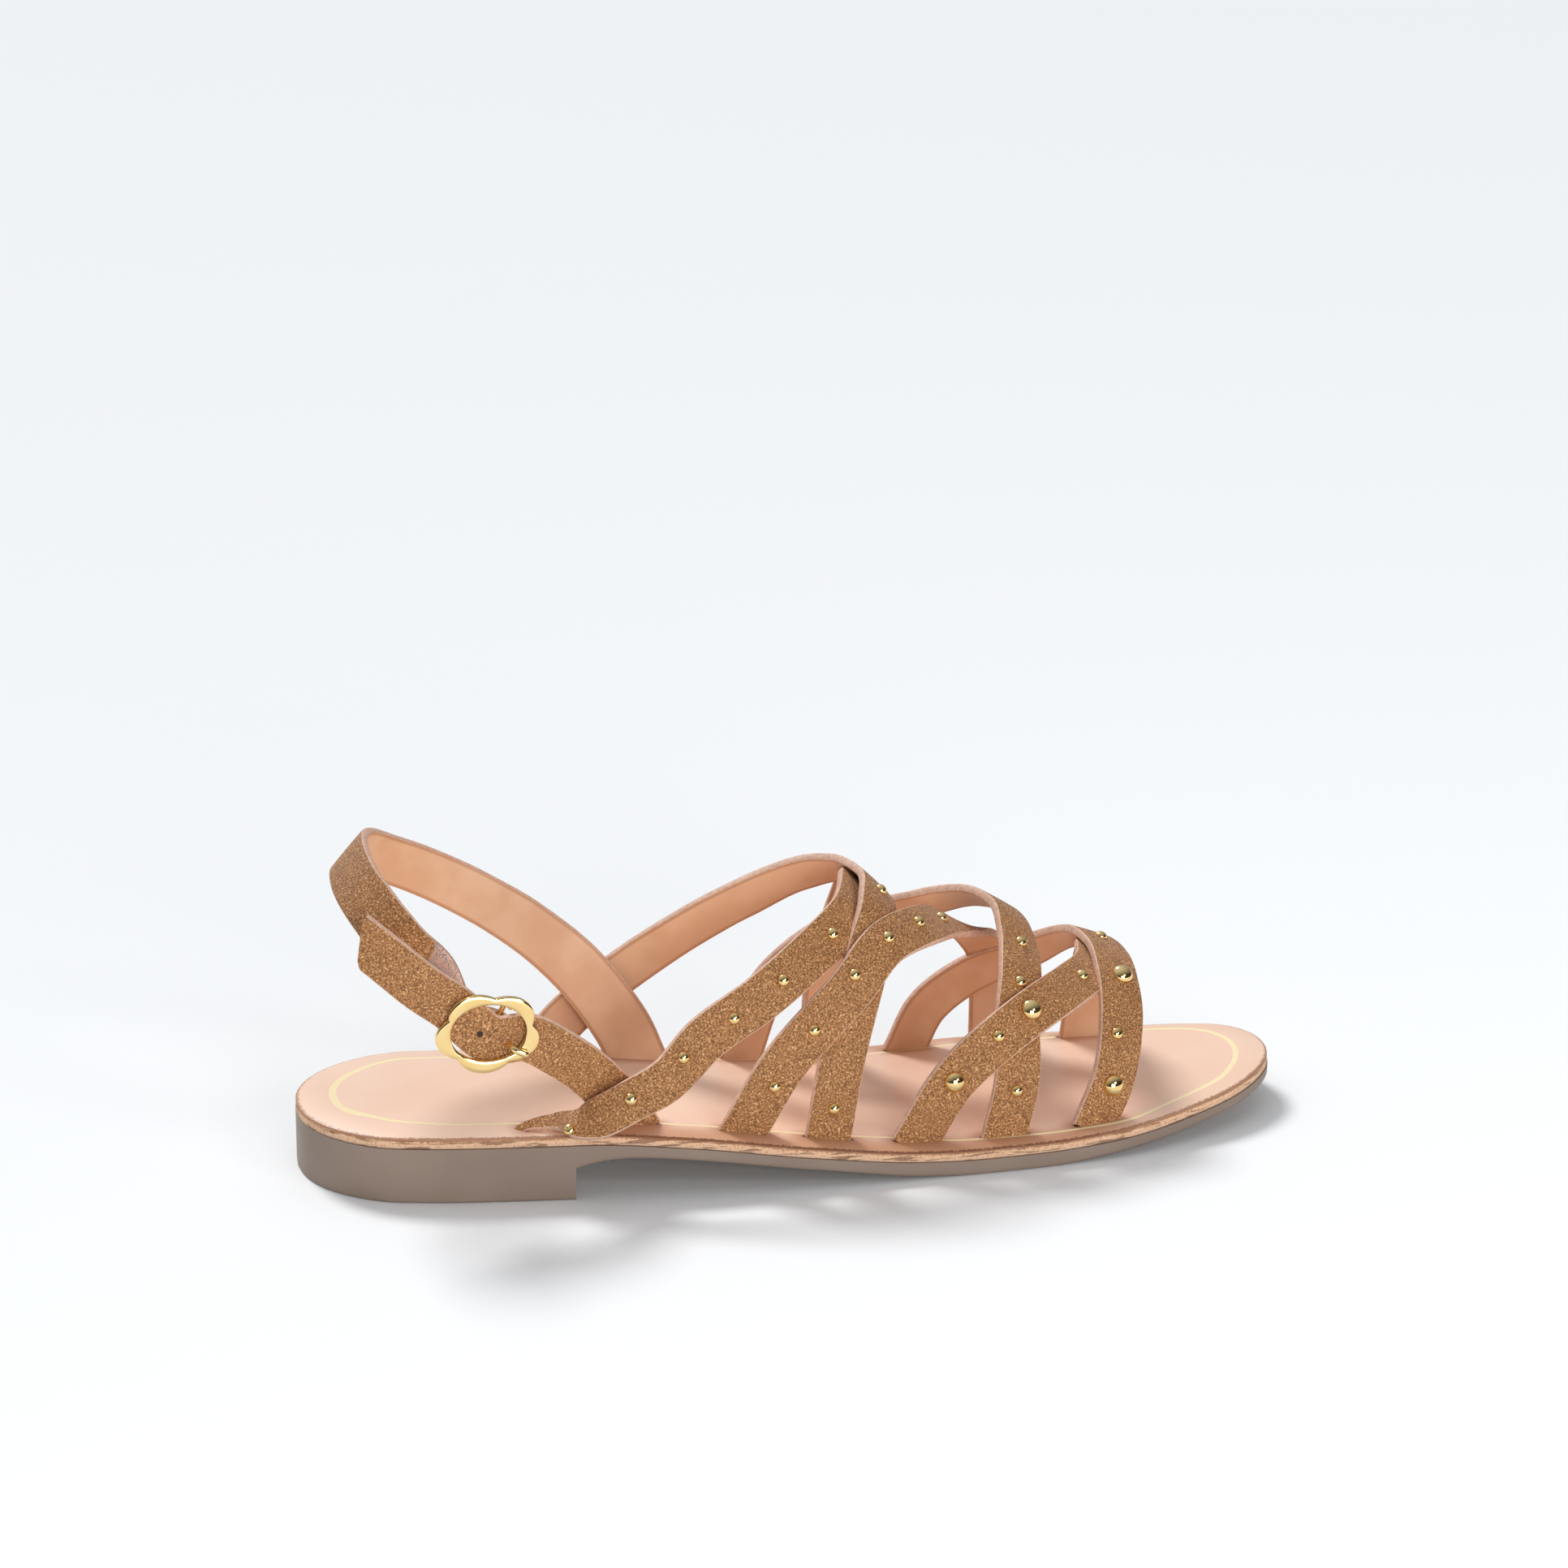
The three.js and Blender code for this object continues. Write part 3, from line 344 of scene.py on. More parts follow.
def read(rows: Sequence[NamedTuple], column: str, at: float) -> float:
    """Smooth value of a table's column, without overshoot.

    Args:
        rows: Table rows with an `at` column.
        column: Name of the column to read.
        at: Share of the length.

    Returns:
        The value there.
    """
    place = [row.at for row in rows]
    value = [getattr(row, column) for row in rows]
    if at <= place[0]:
        return value[0]
    if at >= place[-1]:
        return value[-1]
    i = 0
    while place[i + 1] < at:
        i += 1

    def slope(k: int) -> float:
        """Slope of the straight line from one row to the next."""
        return (value[k + 1] - value[k]) / (place[k + 1] - place[k])

    def tangent(k: int) -> float:
        """Slope of the smooth curve at a row."""
        if k == 0:
            return slope(0)
        if k == len(place) - 1:
            return slope(k - 1)
        product = slope(k - 1) * slope(k)
        return 0.0 if product <= 0 else 2 * product / (slope(k - 1) + slope(k))

    span = place[i + 1] - place[i]
    s = (at - place[i]) / span
    rise = s * s * (3 - 2 * s)
    bend = s * (1 - s) * ((1 - s) * tangent(i) - s * tangent(i + 1)) * span
    return value[i] + (value[i + 1] - value[i]) * rise + bend


def unit(vectors: Array) -> Array:
    """Vectors brought to length one.

    Args:
        vectors: Rows of vectors.

    Returns:
        The same directions with length one.
    """
    return vectors / (np.linalg.norm(vectors, axis=-1, keepdims=True) + 1e-12)


class Curve:
    """Centripetal Catmull-Rom curve through points."""

    def __init__(self, points: Array, closed: bool = False) -> None:
        """Keeps the curve's points.

        Args:
            points: Rows of points.
            closed: Whether it runs back to its start.
        """
        self.points = np.asarray(points, float)
        self.closed = closed

    def at(self, t: float) -> Array:
        """Point of the curve.

        Args:
            t: Share of the curve's segments, 0 to 1.

        Returns:
            The point.
        """
        p = self.points
        n = len(p)
        place = (n - (0 if self.closed else 1)) * t
        i = math.floor(place)
        s = place - i
        if not self.closed and i >= n - 1:
            i, s = n - 2, 1.0
        first = p[(i - 1) % n] if self.closed or i > 0 else 2 * p[0] - p[1]
        start, end = p[i % n], p[(i + 1) % n]
        last = p[(i + 2) % n] if self.closed or i + 2 < n else 2 * p[-1] - p[-2]
        d0, d1, d2 = (max(np.linalg.norm(b - a), 1e-8) ** 0.5
                      for a, b in ((first, start), (start, end), (end, last)))
        m0 = ((start - first) / d0 - (end - first) / (d0 + d1) + (end - start) / d1) * d1
        m1 = ((end - start) / d1 - (last - start) / (d1 + d2) + (last - end) / d2) * d1
        c2 = -3 * start + 3 * end - 2 * m0 - m1
        c3 = 2 * start - 2 * end + m0 + m1
        return start + m0 * s + c2 * s * s + c3 * s ** 3

    def even(self, count: int, samples: int = 900) -> tuple[Array, Array]:
        """Evenly spaced points.

        Args:
            count: Number of points.
            samples: Fineness of the length table.

        Returns:
            The points and their shares t.
        """
        t = np.linspace(0, 1, samples)
        fine = np.array([self.at(v) for v in t])
        length = np.concatenate([[0], np.cumsum(np.linalg.norm(np.diff(fine, axis=0), axis=1))])
        wanted = np.interp(np.linspace(0, length[-1], count), length, t)
        return np.array([self.at(v) for v in wanted]), wanted


class Sole:
    """Plan outline and side profile shared by the outsole, the insole and the last."""

    def __init__(self) -> None:
        """Works out the outline from its table and the round heel."""
        radius = HEEL_WIDTH / 2
        points: list[tuple[float, float, float]] = []

        def heel(degrees: Sequence[float]) -> None:
            """Adds points of the round heel at these angles."""
            for value in degrees:
                angle = math.radians(value)
                points.append((radius + radius * math.cos(angle), radius * math.sin(angle), 0))

        heel((166, 142, 118, 96))
        points += [(along(r.at), r.inner * BALL_WIDTH, 0) for r in OUTLINE]
        points.append((SOLE_LENGTH, TIP_SHIFT * BALL_WIDTH, 0))
        points += [(along(r.at), r.outer * BALL_WIDTH, 0) for r in reversed(OUTLINE)]
        heel((264, 242, 218, 194))
        curve = Curve(np.array(points), closed=True)
        self.outline = np.array([curve.at(i / 720) for i in range(720)])[:, :2]
        self.start = float(self.outline[:, 0].min())
        self.end = float(self.outline[:, 0].max())

    def edges(self, x: float) -> tuple[float, float]:
        """Outer and inner edge at one place.

        Args:
            x: Place along the foot.

        Returns:
            The two values of Y.
        """
        place = min(max(x, self.start + 0.003), self.end - 0.003)
        p = self.outline
        q = np.roll(p, -1, axis=0)
        crossing = ((p[:, 0] - place) * (q[:, 0] - place) <= 0) & (p[:, 0] != q[:, 0])
        p, q = p[crossing], q[crossing]
        y = p[:, 1] + (q[:, 1] - p[:, 1]) * (place - p[:, 0]) / (q[:, 0] - p[:, 0])
        return float(y.min()), float(y.max())

    def distance(self, points: Array) -> Array:
        """Distance from plan points to the outline.

        Args:
            points: Rows of X and Y.

        Returns:
            One distance for each point.
        """
        p = self.outline
        d = np.roll(p, -1, axis=0) - p
        nearest = np.full(len(points), np.inf)
        for start, step in zip(p, d):
            size = float(step @ step)
            if size == 0:
                continue
            s = np.clip((points - start) @ step / size, 0, 1)
            gap = points - start - s[:, None] * step
            nearest = np.minimum(nearest, np.hypot(gap[:, 0], gap[:, 1]))
        return nearest

    def seat(self, x: float) -> float:
        """Height of the outsole's top.

        Args:
            x: Place along the foot.

        Returns:
            The height.
        """
        at = x / SOLE_LENGTH
        drop = (HEEL_HEIGHT - FOREFOOT_SOLE) * read(PROFILE, "drop", at)
        return HEEL_HEIGHT - drop + TOE_SPRING * read(PROFILE, "spring", at)

    def top(self, x: float) -> float:
        """Height of the insole's top.

        Args:
            x: Place along the foot.

        Returns:
            The height.
        """
        return self.seat(x) + CLEARANCE + INSOLE_THICKNESS

    def underside(self, x: float) -> float:
        """Height of the outsole's underside.

        Args:
            x: Place along the foot.

        Returns:
            The height.
        """
        if x <= HEEL_BLOCK:
            return 0.0
        share = read(SOLE_THICKNESS, "value", x / SOLE_LENGTH)
        thickness = SHANK_SOLE + (FOREFOOT_SOLE - SHANK_SOLE) * share
        away = min(max((x - HEEL_BLOCK) / BREAST_FILLET, 0), 1)
        fillet = (self.seat(HEEL_BLOCK) - SHANK_SOLE - BREAST_HEIGHT) * (1 - away) ** 3
        return max(0.0, self.seat(x) - thickness - fillet)

    def stations(self, count: int, extra: Sequence[float] = ()) -> Array:
        """Places along the foot, close together at both ends.

        Args:
            count: Number of places.
            extra: Places to add.

        Returns:
            The sorted places.
        """
        middle, half = (self.start + self.end) / 2, (self.end - self.start) / 2
        even = np.linspace(-1, 1, count)
        x = middle + half * 0.99995 * (0.3 * even + 0.7 * np.sin(even * np.pi / 2))
        return np.sort(np.concatenate([x, np.array(extra, float)]))


class Last:
    """Surface that the straps lie on."""

    def __init__(self, sole: Sole) -> None:
        """Keeps the sole that it stands on.

        Args:
            sole: The sole.
        """
        self.sole = sole

    def point(self, at: float, turn: float) -> Array:
        """Point of the last.

        Args:
            at: Share of sole length.
            turn: 0 at the outer slit, 0.5 on the crown, 1 at the inner slit.

        Returns:
            The point.
        """
        x = along(at)
        outer, inner = self.sole.edges(x)
        height = INSTEP_HEIGHT * read(LAST_HEIGHT, "value", at)
        angle = math.pi * turn
        side = abs(math.cos(angle)) ** SIDE_FULLNESS
        foot = outer + SLIT_INSET if math.cos(angle) > 0 else inner - SLIT_INSET
        y = CROWN_SHIFT + (foot - CROWN_SHIFT) * side
        z = self.sole.top(x) + height * max(0.0, math.sin(angle)) ** CROWN_FULLNESS
        return np.array([x, y, z])

    def normal(self, at: float, turn: float) -> Array:
        """Outward direction of the last.

        Args:
            at: Share of sole length.
            turn: Share of the way across.

        Returns:
            A vector of length one.
        """
        t = min(max(turn, 0.03), 0.97)
        across = self.point(at, t + 0.02) - self.point(at, t - 0.02)
        length = self.point(at + 0.02, t) - self.point(at - 0.02, t)
        return -unit(np.cross(across, length))


@dataclass
class Frames:
    """Stations along a strap: place, direction, outward normal, width direction, width share."""

    point: Array
    along: Array
    out: Array
    wide: Array
    width: Array

    def at(self, share: float) -> tuple[Array, Array, Array, Array]:
        """Mixed station.

        Args:
            share: Share of the list of stations.

        Returns:
            Point, direction, normal and width direction.
        """
        place = share * (len(self.point) - 1)
        i = min(int(place), len(self.point) - 2)
        s = place - i
        mix = [a[i] * (1 - s) + a[i + 1] * s for a in (self.point, self.along, self.out, self.wide)]
        return mix[0], unit(mix[1]), unit(mix[2]), unit(mix[3])


def seat_share(share: float, sections: int, feet: int) -> float:
    """Place along a strap's free length.

    Args:
        share: Share counted over the sections and the sunk feet.
        sections: Sections of the free length.
        feet: Number of sunk feet.

    Returns:
        Share of the free length, 0 to 1.
    """
    return min(max((share * (sections + feet) - 1) / sections, 0), 1)


def path_length(points: Array) -> float:
    """Length of a line of points.

    Args:
        points: Rows of points.

    Returns:
        The length.
    """
    return float(np.linalg.norm(np.diff(points, axis=0), axis=1).sum())


def blend_rows(values: Array, t: Array) -> Array:
    """Values between rows, eased from one to the next.

    Args:
        values: One row of values for each control point.
        t: Shares of the curve.

    Returns:
        One row for each share.
    """
    place = t * (len(values) - 1)
    i = np.minimum(place.astype(int), len(values) - 2)
    s = (place - i)[:, None]
    s = s * s * (3 - 2 * s)
    return values[i] * (1 - s) + values[i + 1] * s


def make_frames(points: Array, facing: Array, count: int, widths: Array | None = None) -> Frames:
    """Stations of a strap.

    Args:
        points: Control points of the inner face.
        facing: Outward hints at those points.
        count: Number of stations.
        widths: Share of full width at those points.

    Returns:
        The stations.
    """
    widths = np.ones(len(points)) if widths is None else widths
    place, t = Curve(points).even(count)
    direction = unit(np.gradient(place, axis=0))
    hint = unit(blend_rows(facing, t))
    for _ in range(6):
        hint[1:-1] = (hint[:-2] + 2 * hint[1:-1] + hint[2:]) / 4
    out = unit(hint - (hint * direction).sum(1, keepdims=True) * direction)
    wide = unit(np.cross(out, direction))
    return Frames(place, direction, out, wide, blend_rows(widths[:, None], t)[:, 0])


def turned(vector: Array, axis: Array, degrees: float) -> Array:
    """Vector turned about an axis.

    Args:
        vector: The vector.
        axis: Unit axis.
        degrees: Angle by the right-hand rule.

    Returns:
        The turned vector.
    """
    return np.array(Matrix.Rotation(math.radians(degrees), 3, Vector(axis)) @ Vector(vector))


def upper_frames(number: int, last: Last, count: int) -> Frames:
    """Stations of one of the six upper straps.

    Args:
        number: Strap number.
        last: Surface that it lies on.
        count: Number of stations.

    Returns:
        The stations.
    """
    points, facing, widths = [], [], []
    if number == 1:
        for row in GATHER:
            x = along(row.at)
            points.append([x, row.across * BALL_WIDTH, last.sole.top(x) + row.rise * INSTEP_HEIGHT])
            tilt = math.radians(row.tilt)
            facing.append([0, -math.cos(tilt), math.sin(tilt)])
            widths.append(row.width)
    rows = STRAPS[number]
    normals = [last.normal(r.at, r.turn) for r in rows]
    on_last = [last.point(r.at, r.turn) + n * r.lift * STRAP_THICKNESS
               for r, n in zip(rows, normals)]
    for i, row in enumerate(rows):
        direction = unit(on_last[min(i + 1, len(rows) - 1)] - on_last[max(i - 1, 0)])
        points.append(on_last[i])
        facing.append(turned(normals[i], direction, row.roll))
        widths.append(1.0)
    return make_frames(np.array(points), np.array(facing), count, np.array(widths))


def free_points(rows: Sequence[FreeRow]) -> Array:
    """Control points of a free strap.

    Args:
        rows: Its table.

    Returns:
        Rows of points.
    """
    return np.array([[along(r.at), r.across * SLING_SPREAD, r.up * SLING_HEIGHT] for r in rows])


def sling_frames(count: int) -> Frames:
    """Stations of the sling strap.

    Args:
        count: Number of stations.

    Returns:
        The stations.
    """
    points = free_points(SLING)
    facing = []
    for i, row in enumerate(SLING):
        direction = unit(points[min(i + 1, len(points) - 1)] - points[max(i - 1, 0)])
        lean = math.radians(row.angle)
        facing.append(unit(np.cross(direction, [math.sin(lean), 0, math.cos(lean)])))
    return make_frames(points, np.array(facing), count, np.array([row.width for row in SLING]))


def buckle_strap_frames(count: int) -> Frames:
    """Stations of the buckle strap.

    Args:
        count: Number of stations.

    Returns:
        The stations.
    """
    angles = np.radians([row.angle for row in BUCKLE_STRAP])
    facing = np.stack([-np.sin(angles), -np.cos(angles), np.zeros(len(angles))], axis=1)
    return make_frames(free_points(BUCKLE_STRAP), facing, count)


@dataclass(frozen=True)
class Place:
    """Shift from the shoe's millimetres to the part's frame in metres."""

    x: float
    y: float

    def metres(self, points: Array) -> Array:
        """Points in the part's frame.

        Args:
            points: Rows of millimetres.

        Returns:
            Rows of metres.
        """
        return (np.asarray(points, float) + [self.x, self.y, 0]) * MM


@dataclass(frozen=True)
class Finish:
    """Look of one surface.

    Colours are sRGB hex values, sizes are millimetres.
    """

    name: str
    colour: str
    second: str
    roughness: float
    grain: float
    bump: float
    metallic: float = 0.0
    coat: float = 0.0
    sheen: float = 0.0


# Moulded rubber: a matt warm grey with faint flow marks.
RUBBER = Finish("outsole rubber", "#887567", "#907d6f", 0.50, 1.1, 0.04)
# Smooth finished leather on the insole board: pale pink with a soft gloss.
INSOLE_LEATHER = Finish("insole leather", "#f6d5bd", "#f2ccb2", 0.42, 6.0, 0.02, coat=0.08)
# Cut side of the insole board, sanded and burnished: pale fibres with dark drawn streaks.
INSOLE_RIM = Finish("insole raw rim", "#ffd2ac", "#c88558", 0.85, 0.6, 0.6)
# Fabric faced with metallic-brown grains: painted shade in the pits and painted glints on the grain tops,
# side by side.
SUEDE = Finish("strap fabric", "#b57c48", "#754a24", 0.70, 0.38, 0.24, sheen=0.08)
# Lining leather: smooth, half matt, with fine creases across.
LINING = Finish("strap lining", "#e0b28e", "#d8a681", 0.50, 9.0, 0.08)
# Painted cut edge: pinkish and matt.
EDGE = Finish("strap edge", "#dcb7a0", "#c99e86", 0.60, 0.9, 0.06)
# Polished gold plating: a warm mirror.
GOLD = Finish("pale gold", "#f3cf8a", "#f6d798", 0.10, 8.0, 0.0, metallic=1.0)
# Elastic woven with metallic thread: pale dots of thread on pink, brightened as painted sparkle highlights.
ELASTIC = Finish("elastic", "#c49a86", "#fff1ea", 0.40, 0.45, 0.3, metallic=0.2)
# Seamless studio paper: white and matt.
PAPER = Finish("studio paper", "#f6f8f9", "#f6f8f9", 0.9, 50.0, 0.0)

GOLD_PRINT = "#fdebb9"
# Painted glint: pale colour laid on the tops of the strap fabric's grains.
PAINTED_GLINT = "#e9bd85"
PATCH = "#8a6037"
# Painted shade inside the spare punched hole.
HOLE_SHADE = "#35200f"
WORN = "#ad6d40"
BURNISHED = "#6f4022"
FIBRE = "#f7d5b6"
# Painted shade of the straps along the insole's edges between their feet.
STRAP_SHADE = "#c6895d"
# Painted shade round the strap feet on the insole.
FOOT_SHADE = "#a9673b"
# Painted shade in the slits where the straps go in.
SLIT_SHADE = "#4a2913"

# Reaches of wear, of painted shade and of drawn marks, in millimetres.
PATCH_SIZE = 4.5
FLOW_SIZE = 24
CREASE_SIZE = 1.6
SEAM_REACH = 1.1
STRAP_SHADE_REACH = 8.5
FOOT_SHADE_REACH = 5.0
WORN_REACH = 0.9
RAGGED = 1.6
STREAK_SIZE = 0.7
PRINT_SOFT = 0.06


def linear(colour: str) -> tuple[float, float, float, float]:
    """Linear colour of an sRGB hex value.

    Args:
        colour: Value such as "#aabbcc".

    Returns:
        Red, green, blue and alpha.
    """
    values = [int(colour[i:i + 2], 16) / 255 for i in (1, 3, 5)]
    r, g, b = (v / 12.92 if v <= 0.04045 else ((v + 0.055) / 1.055) ** 2.4 for v in values)
    return (r, g, b, 1.0)


class Shader:
    """Node tree of one material, with a short way to add nodes."""

    def __init__(self, name: str) -> None:
        """Starts an empty material.

        Args:
            name: Its name.
        """
        self.material = bpy.data.materials.new(name)
        self.material.use_nodes = True
        self.tree = self.material.node_tree
        self.tree.nodes.clear()
        self.output = self.add("ShaderNodeOutputMaterial")

    def add(self, kind: str, inputs: dict[Any, Any] | None = None, **settings: Any) -> bpy.types.Node:
        """Adds a node.

        Args:
            kind: Type name of the node.
            inputs: Values or sockets for its inputs, by name or number.
            settings: Attributes to set on it.

        Returns:
            The node.
        """
        made = self.tree.nodes.new(kind)
        for key, value in settings.items():
            setattr(made, key, value)
        for key, value in (inputs or {}).items():
            socket = made.inputs[key]
            if isinstance(value, bpy.types.NodeSocket):
                self.tree.links.new(value, socket)
            else:
                socket.default_value = value
        return made

    def mix(self, factor: Any, first: Any, second: Any) -> bpy.types.NodeSocket:
        """Mixes two colours.

        Args:
            factor: Share of the second.
            first: First colour.
            second: Second colour.

        Returns:
            The mixed colour's socket.
        """
        return self.add("ShaderNodeMix", {0: factor, 6: first, 7: second}, data_type="RGBA").outputs[2]

    def math(self, operation: str, first: Any, second: Any = 0.0) -> bpy.types.NodeSocket:
        """Does arithmetic on two values.

        Args:
            operation: Name of the operation.
            first: First value.
            second: Second value.

        Returns:
            The result's socket.
        """
        return self.add("ShaderNodeMath", {0: first, 1: second}, operation=operation).outputs[0]

    def ramp(self, value: Any, low: float, high: float, share: float = 1.0) -> bpy.types.NodeSocket:
        """Smooth step from 0 to a share.

        Args:
            value: Value to read.
            low: Where it leaves 0.
            high: Where it reaches the share.
            share: Its greatest value.

        Returns:
            The step's socket.
        """
        made = self.add("ShaderNodeMapRange", {0: value, 1: low, 2: high, 4: share},
                        interpolation_type="SMOOTHSTEP")
        return made.outputs[0]

    def over(self, below: Any, share: Any, colour: str) -> bpy.types.NodeSocket:
        """Lays a colour over another.

        Args:
            below: Colour below.
            share: How much of it is covered.
            colour: sRGB hex value laid over it.

        Returns:
            The mixed colour's socket.
        """
        return self.mix(share, below, linear(colour))

    def blend(self, finish: Finish, share: Any) -> bpy.types.NodeSocket:
        """Mixes a finish's two colours.

        Args:
            finish: The finish.
            share: Share of the second colour.

        Returns:
            The mixed colour's socket.
        """
        return self.mix(share, linear(finish.colour), linear(finish.second))

    def noise(self, size: float, detail: float = 3.0, roughness: float = 0.6,
              stretch: tuple[float, float, float] | None = None) -> bpy.types.NodeSocket:
        """Noise with features of a real size.

        Args:
            size: Feature size in millimetres.
            detail: Number of finer layers.
            roughness: Strength of those layers.
            stretch: Scale of the pattern along X, Y and Z, where it is drawn out.

        Returns:
            The noise value's socket.
        """
        place = self.add("ShaderNodeTexCoord").outputs["Object"]
        if stretch is not None:
            place = self.add("ShaderNodeMapping", {"Vector": place, "Scale": stretch}).outputs[0]
        made = self.add("ShaderNodeTexNoise", {
            "Vector": place, "Scale": 1 / (size * MM), "Detail": detail, "Roughness": roughness})
        return made.outputs[0]

    def attribute(self, name: str) -> bpy.types.NodeSocket:
        """Value stored on the mesh.

        Args:
            name: Attribute name.

        Returns:
            The value's socket.
        """
        return self.add("ShaderNodeAttribute", attribute_name=name).outputs["Fac"]

    def surface(self, finish: Finish, colour: Any, height: Any,
                roughness: Any = None) -> bpy.types.Material:
        """Closes the material with a principled surface.

        Args:
            finish: Finish that gives its constants.
            colour: Colour or socket.
            height: Height socket for the bump.
            roughness: Roughness in place of the finish's own.

        Returns:
            The material.
        """
        inputs = {
            "Base Color": colour, "Metallic": finish.metallic,
            "Roughness": finish.roughness if roughness is None else roughness,
            "Coat Weight": finish.coat, "Coat Roughness": 0.3,
            "Sheen Weight": finish.sheen, "Sheen Roughness": 0.5,
        }
        if finish.bump > 0:
            bump = self.add("ShaderNodeBump", {
                "Height": height, "Distance": finish.bump * MM, "Strength": 1.0})
            inputs["Normal"] = bump.outputs[0]
        body = self.add("ShaderNodeBsdfPrincipled", inputs)
        self.tree.links.new(body.outputs[0], self.output.inputs["Surface"])
        return self.material


def plain_material(finish: Finish) -> bpy.types.Material:
    """Material that varies softly between its finish's two colours.

    Args:
        finish: The finish.

    Returns:
        The material.
    """
    shader = Shader(finish.name)
    broad = shader.noise(finish.grain)
    return shader.surface(finish, shader.blend(finish, shader.ramp(broad, 0.35, 0.65)), broad)


def rubber_material() -> bpy.types.Material:
    """Moulded rubber: fine matt skin with faint flow marks.

    Returns:
        The material.
    """
    shader = Shader(RUBBER.name)
    skin = shader.noise(RUBBER.grain, 4, 0.7)
    flow = shader.noise(FLOW_SIZE, 2, 0.5)
    return shader.surface(RUBBER, shader.blend(RUBBER, shader.ramp(flow, 0.3, 0.7)), skin)


def suede_material(punch: tuple[float, float] | None = None) -> bpy.types.Material:
    """Granular strap fabric: painted shade in the pits between the metallic grains and painted glints on
    their tops.

    Args:
        punch: Place of a punched hole, drawn as a dark disc of painted shade, along and around the strap in
            millimetres.

    Returns:
        The material.
    """
    shader = Shader(SUEDE.name)
    grain = shader.noise(SUEDE.grain, 1.6, 0.5)
    patch = shader.noise(PATCH_SIZE, 2, 0.5)
    # Painted glint: the grain's high places, also high in the bump, turn pale.
    painted_glint = shader.ramp(grain, 0.57, 0.72)
    # Painted shade: the grain's pits, low in the bump, take the darker colour.
    colour = shader.mix(shader.ramp(grain, 0.32, 0.58), linear(SUEDE.second), linear(SUEDE.colour))
    colour = shader.over(colour, painted_glint, PAINTED_GLINT)
    colour = shader.over(colour, shader.ramp(patch, 0.4, 0.7, 0.10), PATCH)
    if punch is not None:
        place = shader.add("ShaderNodeUVMap", uv_map="strap").outputs[0]
        centre = (punch[0] * MM, punch[1] * MM, 0)
        away = shader.add("ShaderNodeVectorMath", {0: place, 1: centre}, operation="DISTANCE")
        rim, core = 0.55 * PUNCH_DIAMETER * MM, 0.42 * PUNCH_DIAMETER * MM
        # Painted shade of the hole: a dark disc where the punched hole is.
        colour = shader.over(colour, shader.ramp(away.outputs["Value"], rim, core), HOLE_SHADE)
    rough = shader.math("SUBTRACT", SUEDE.roughness, shader.math("MULTIPLY", painted_glint, 0.25))
    return shader.surface(SUEDE, colour, grain, rough)


def rim_material() -> bpy.types.Material:
    """Raw side of the insole board: pale fibres below, streaks along it and wear at its top.

    Returns:
        The material.
    """
    shader = Shader(INSOLE_RIM.name)
    fibre = shader.noise(INSOLE_RIM.grain, 4, 0.7)
    streak = shader.noise(STREAK_SIZE, 2.0, 0.5, (0.1, 0.1, 1.0))
    uneven = shader.math("MULTIPLY", shader.math("SUBTRACT", fibre, 0.5), 0.5)
    level = shader.math("ADD", shader.attribute("level"), uneven)
    colour = shader.blend(INSOLE_RIM, shader.ramp(fibre, 0.48, 0.66, 0.55))
    colour = shader.over(colour, shader.ramp(level, 0.35, 0.1, 0.5), FIBRE)
    colour = shader.over(colour, shader.ramp(streak, 0.53, 0.62, 0.65), BURNISHED)
    colour = shader.over(colour, shader.ramp(level, 0.72, 0.9, 0.7), WORN)
    return shader.surface(INSOLE_RIM, colour, fibre)


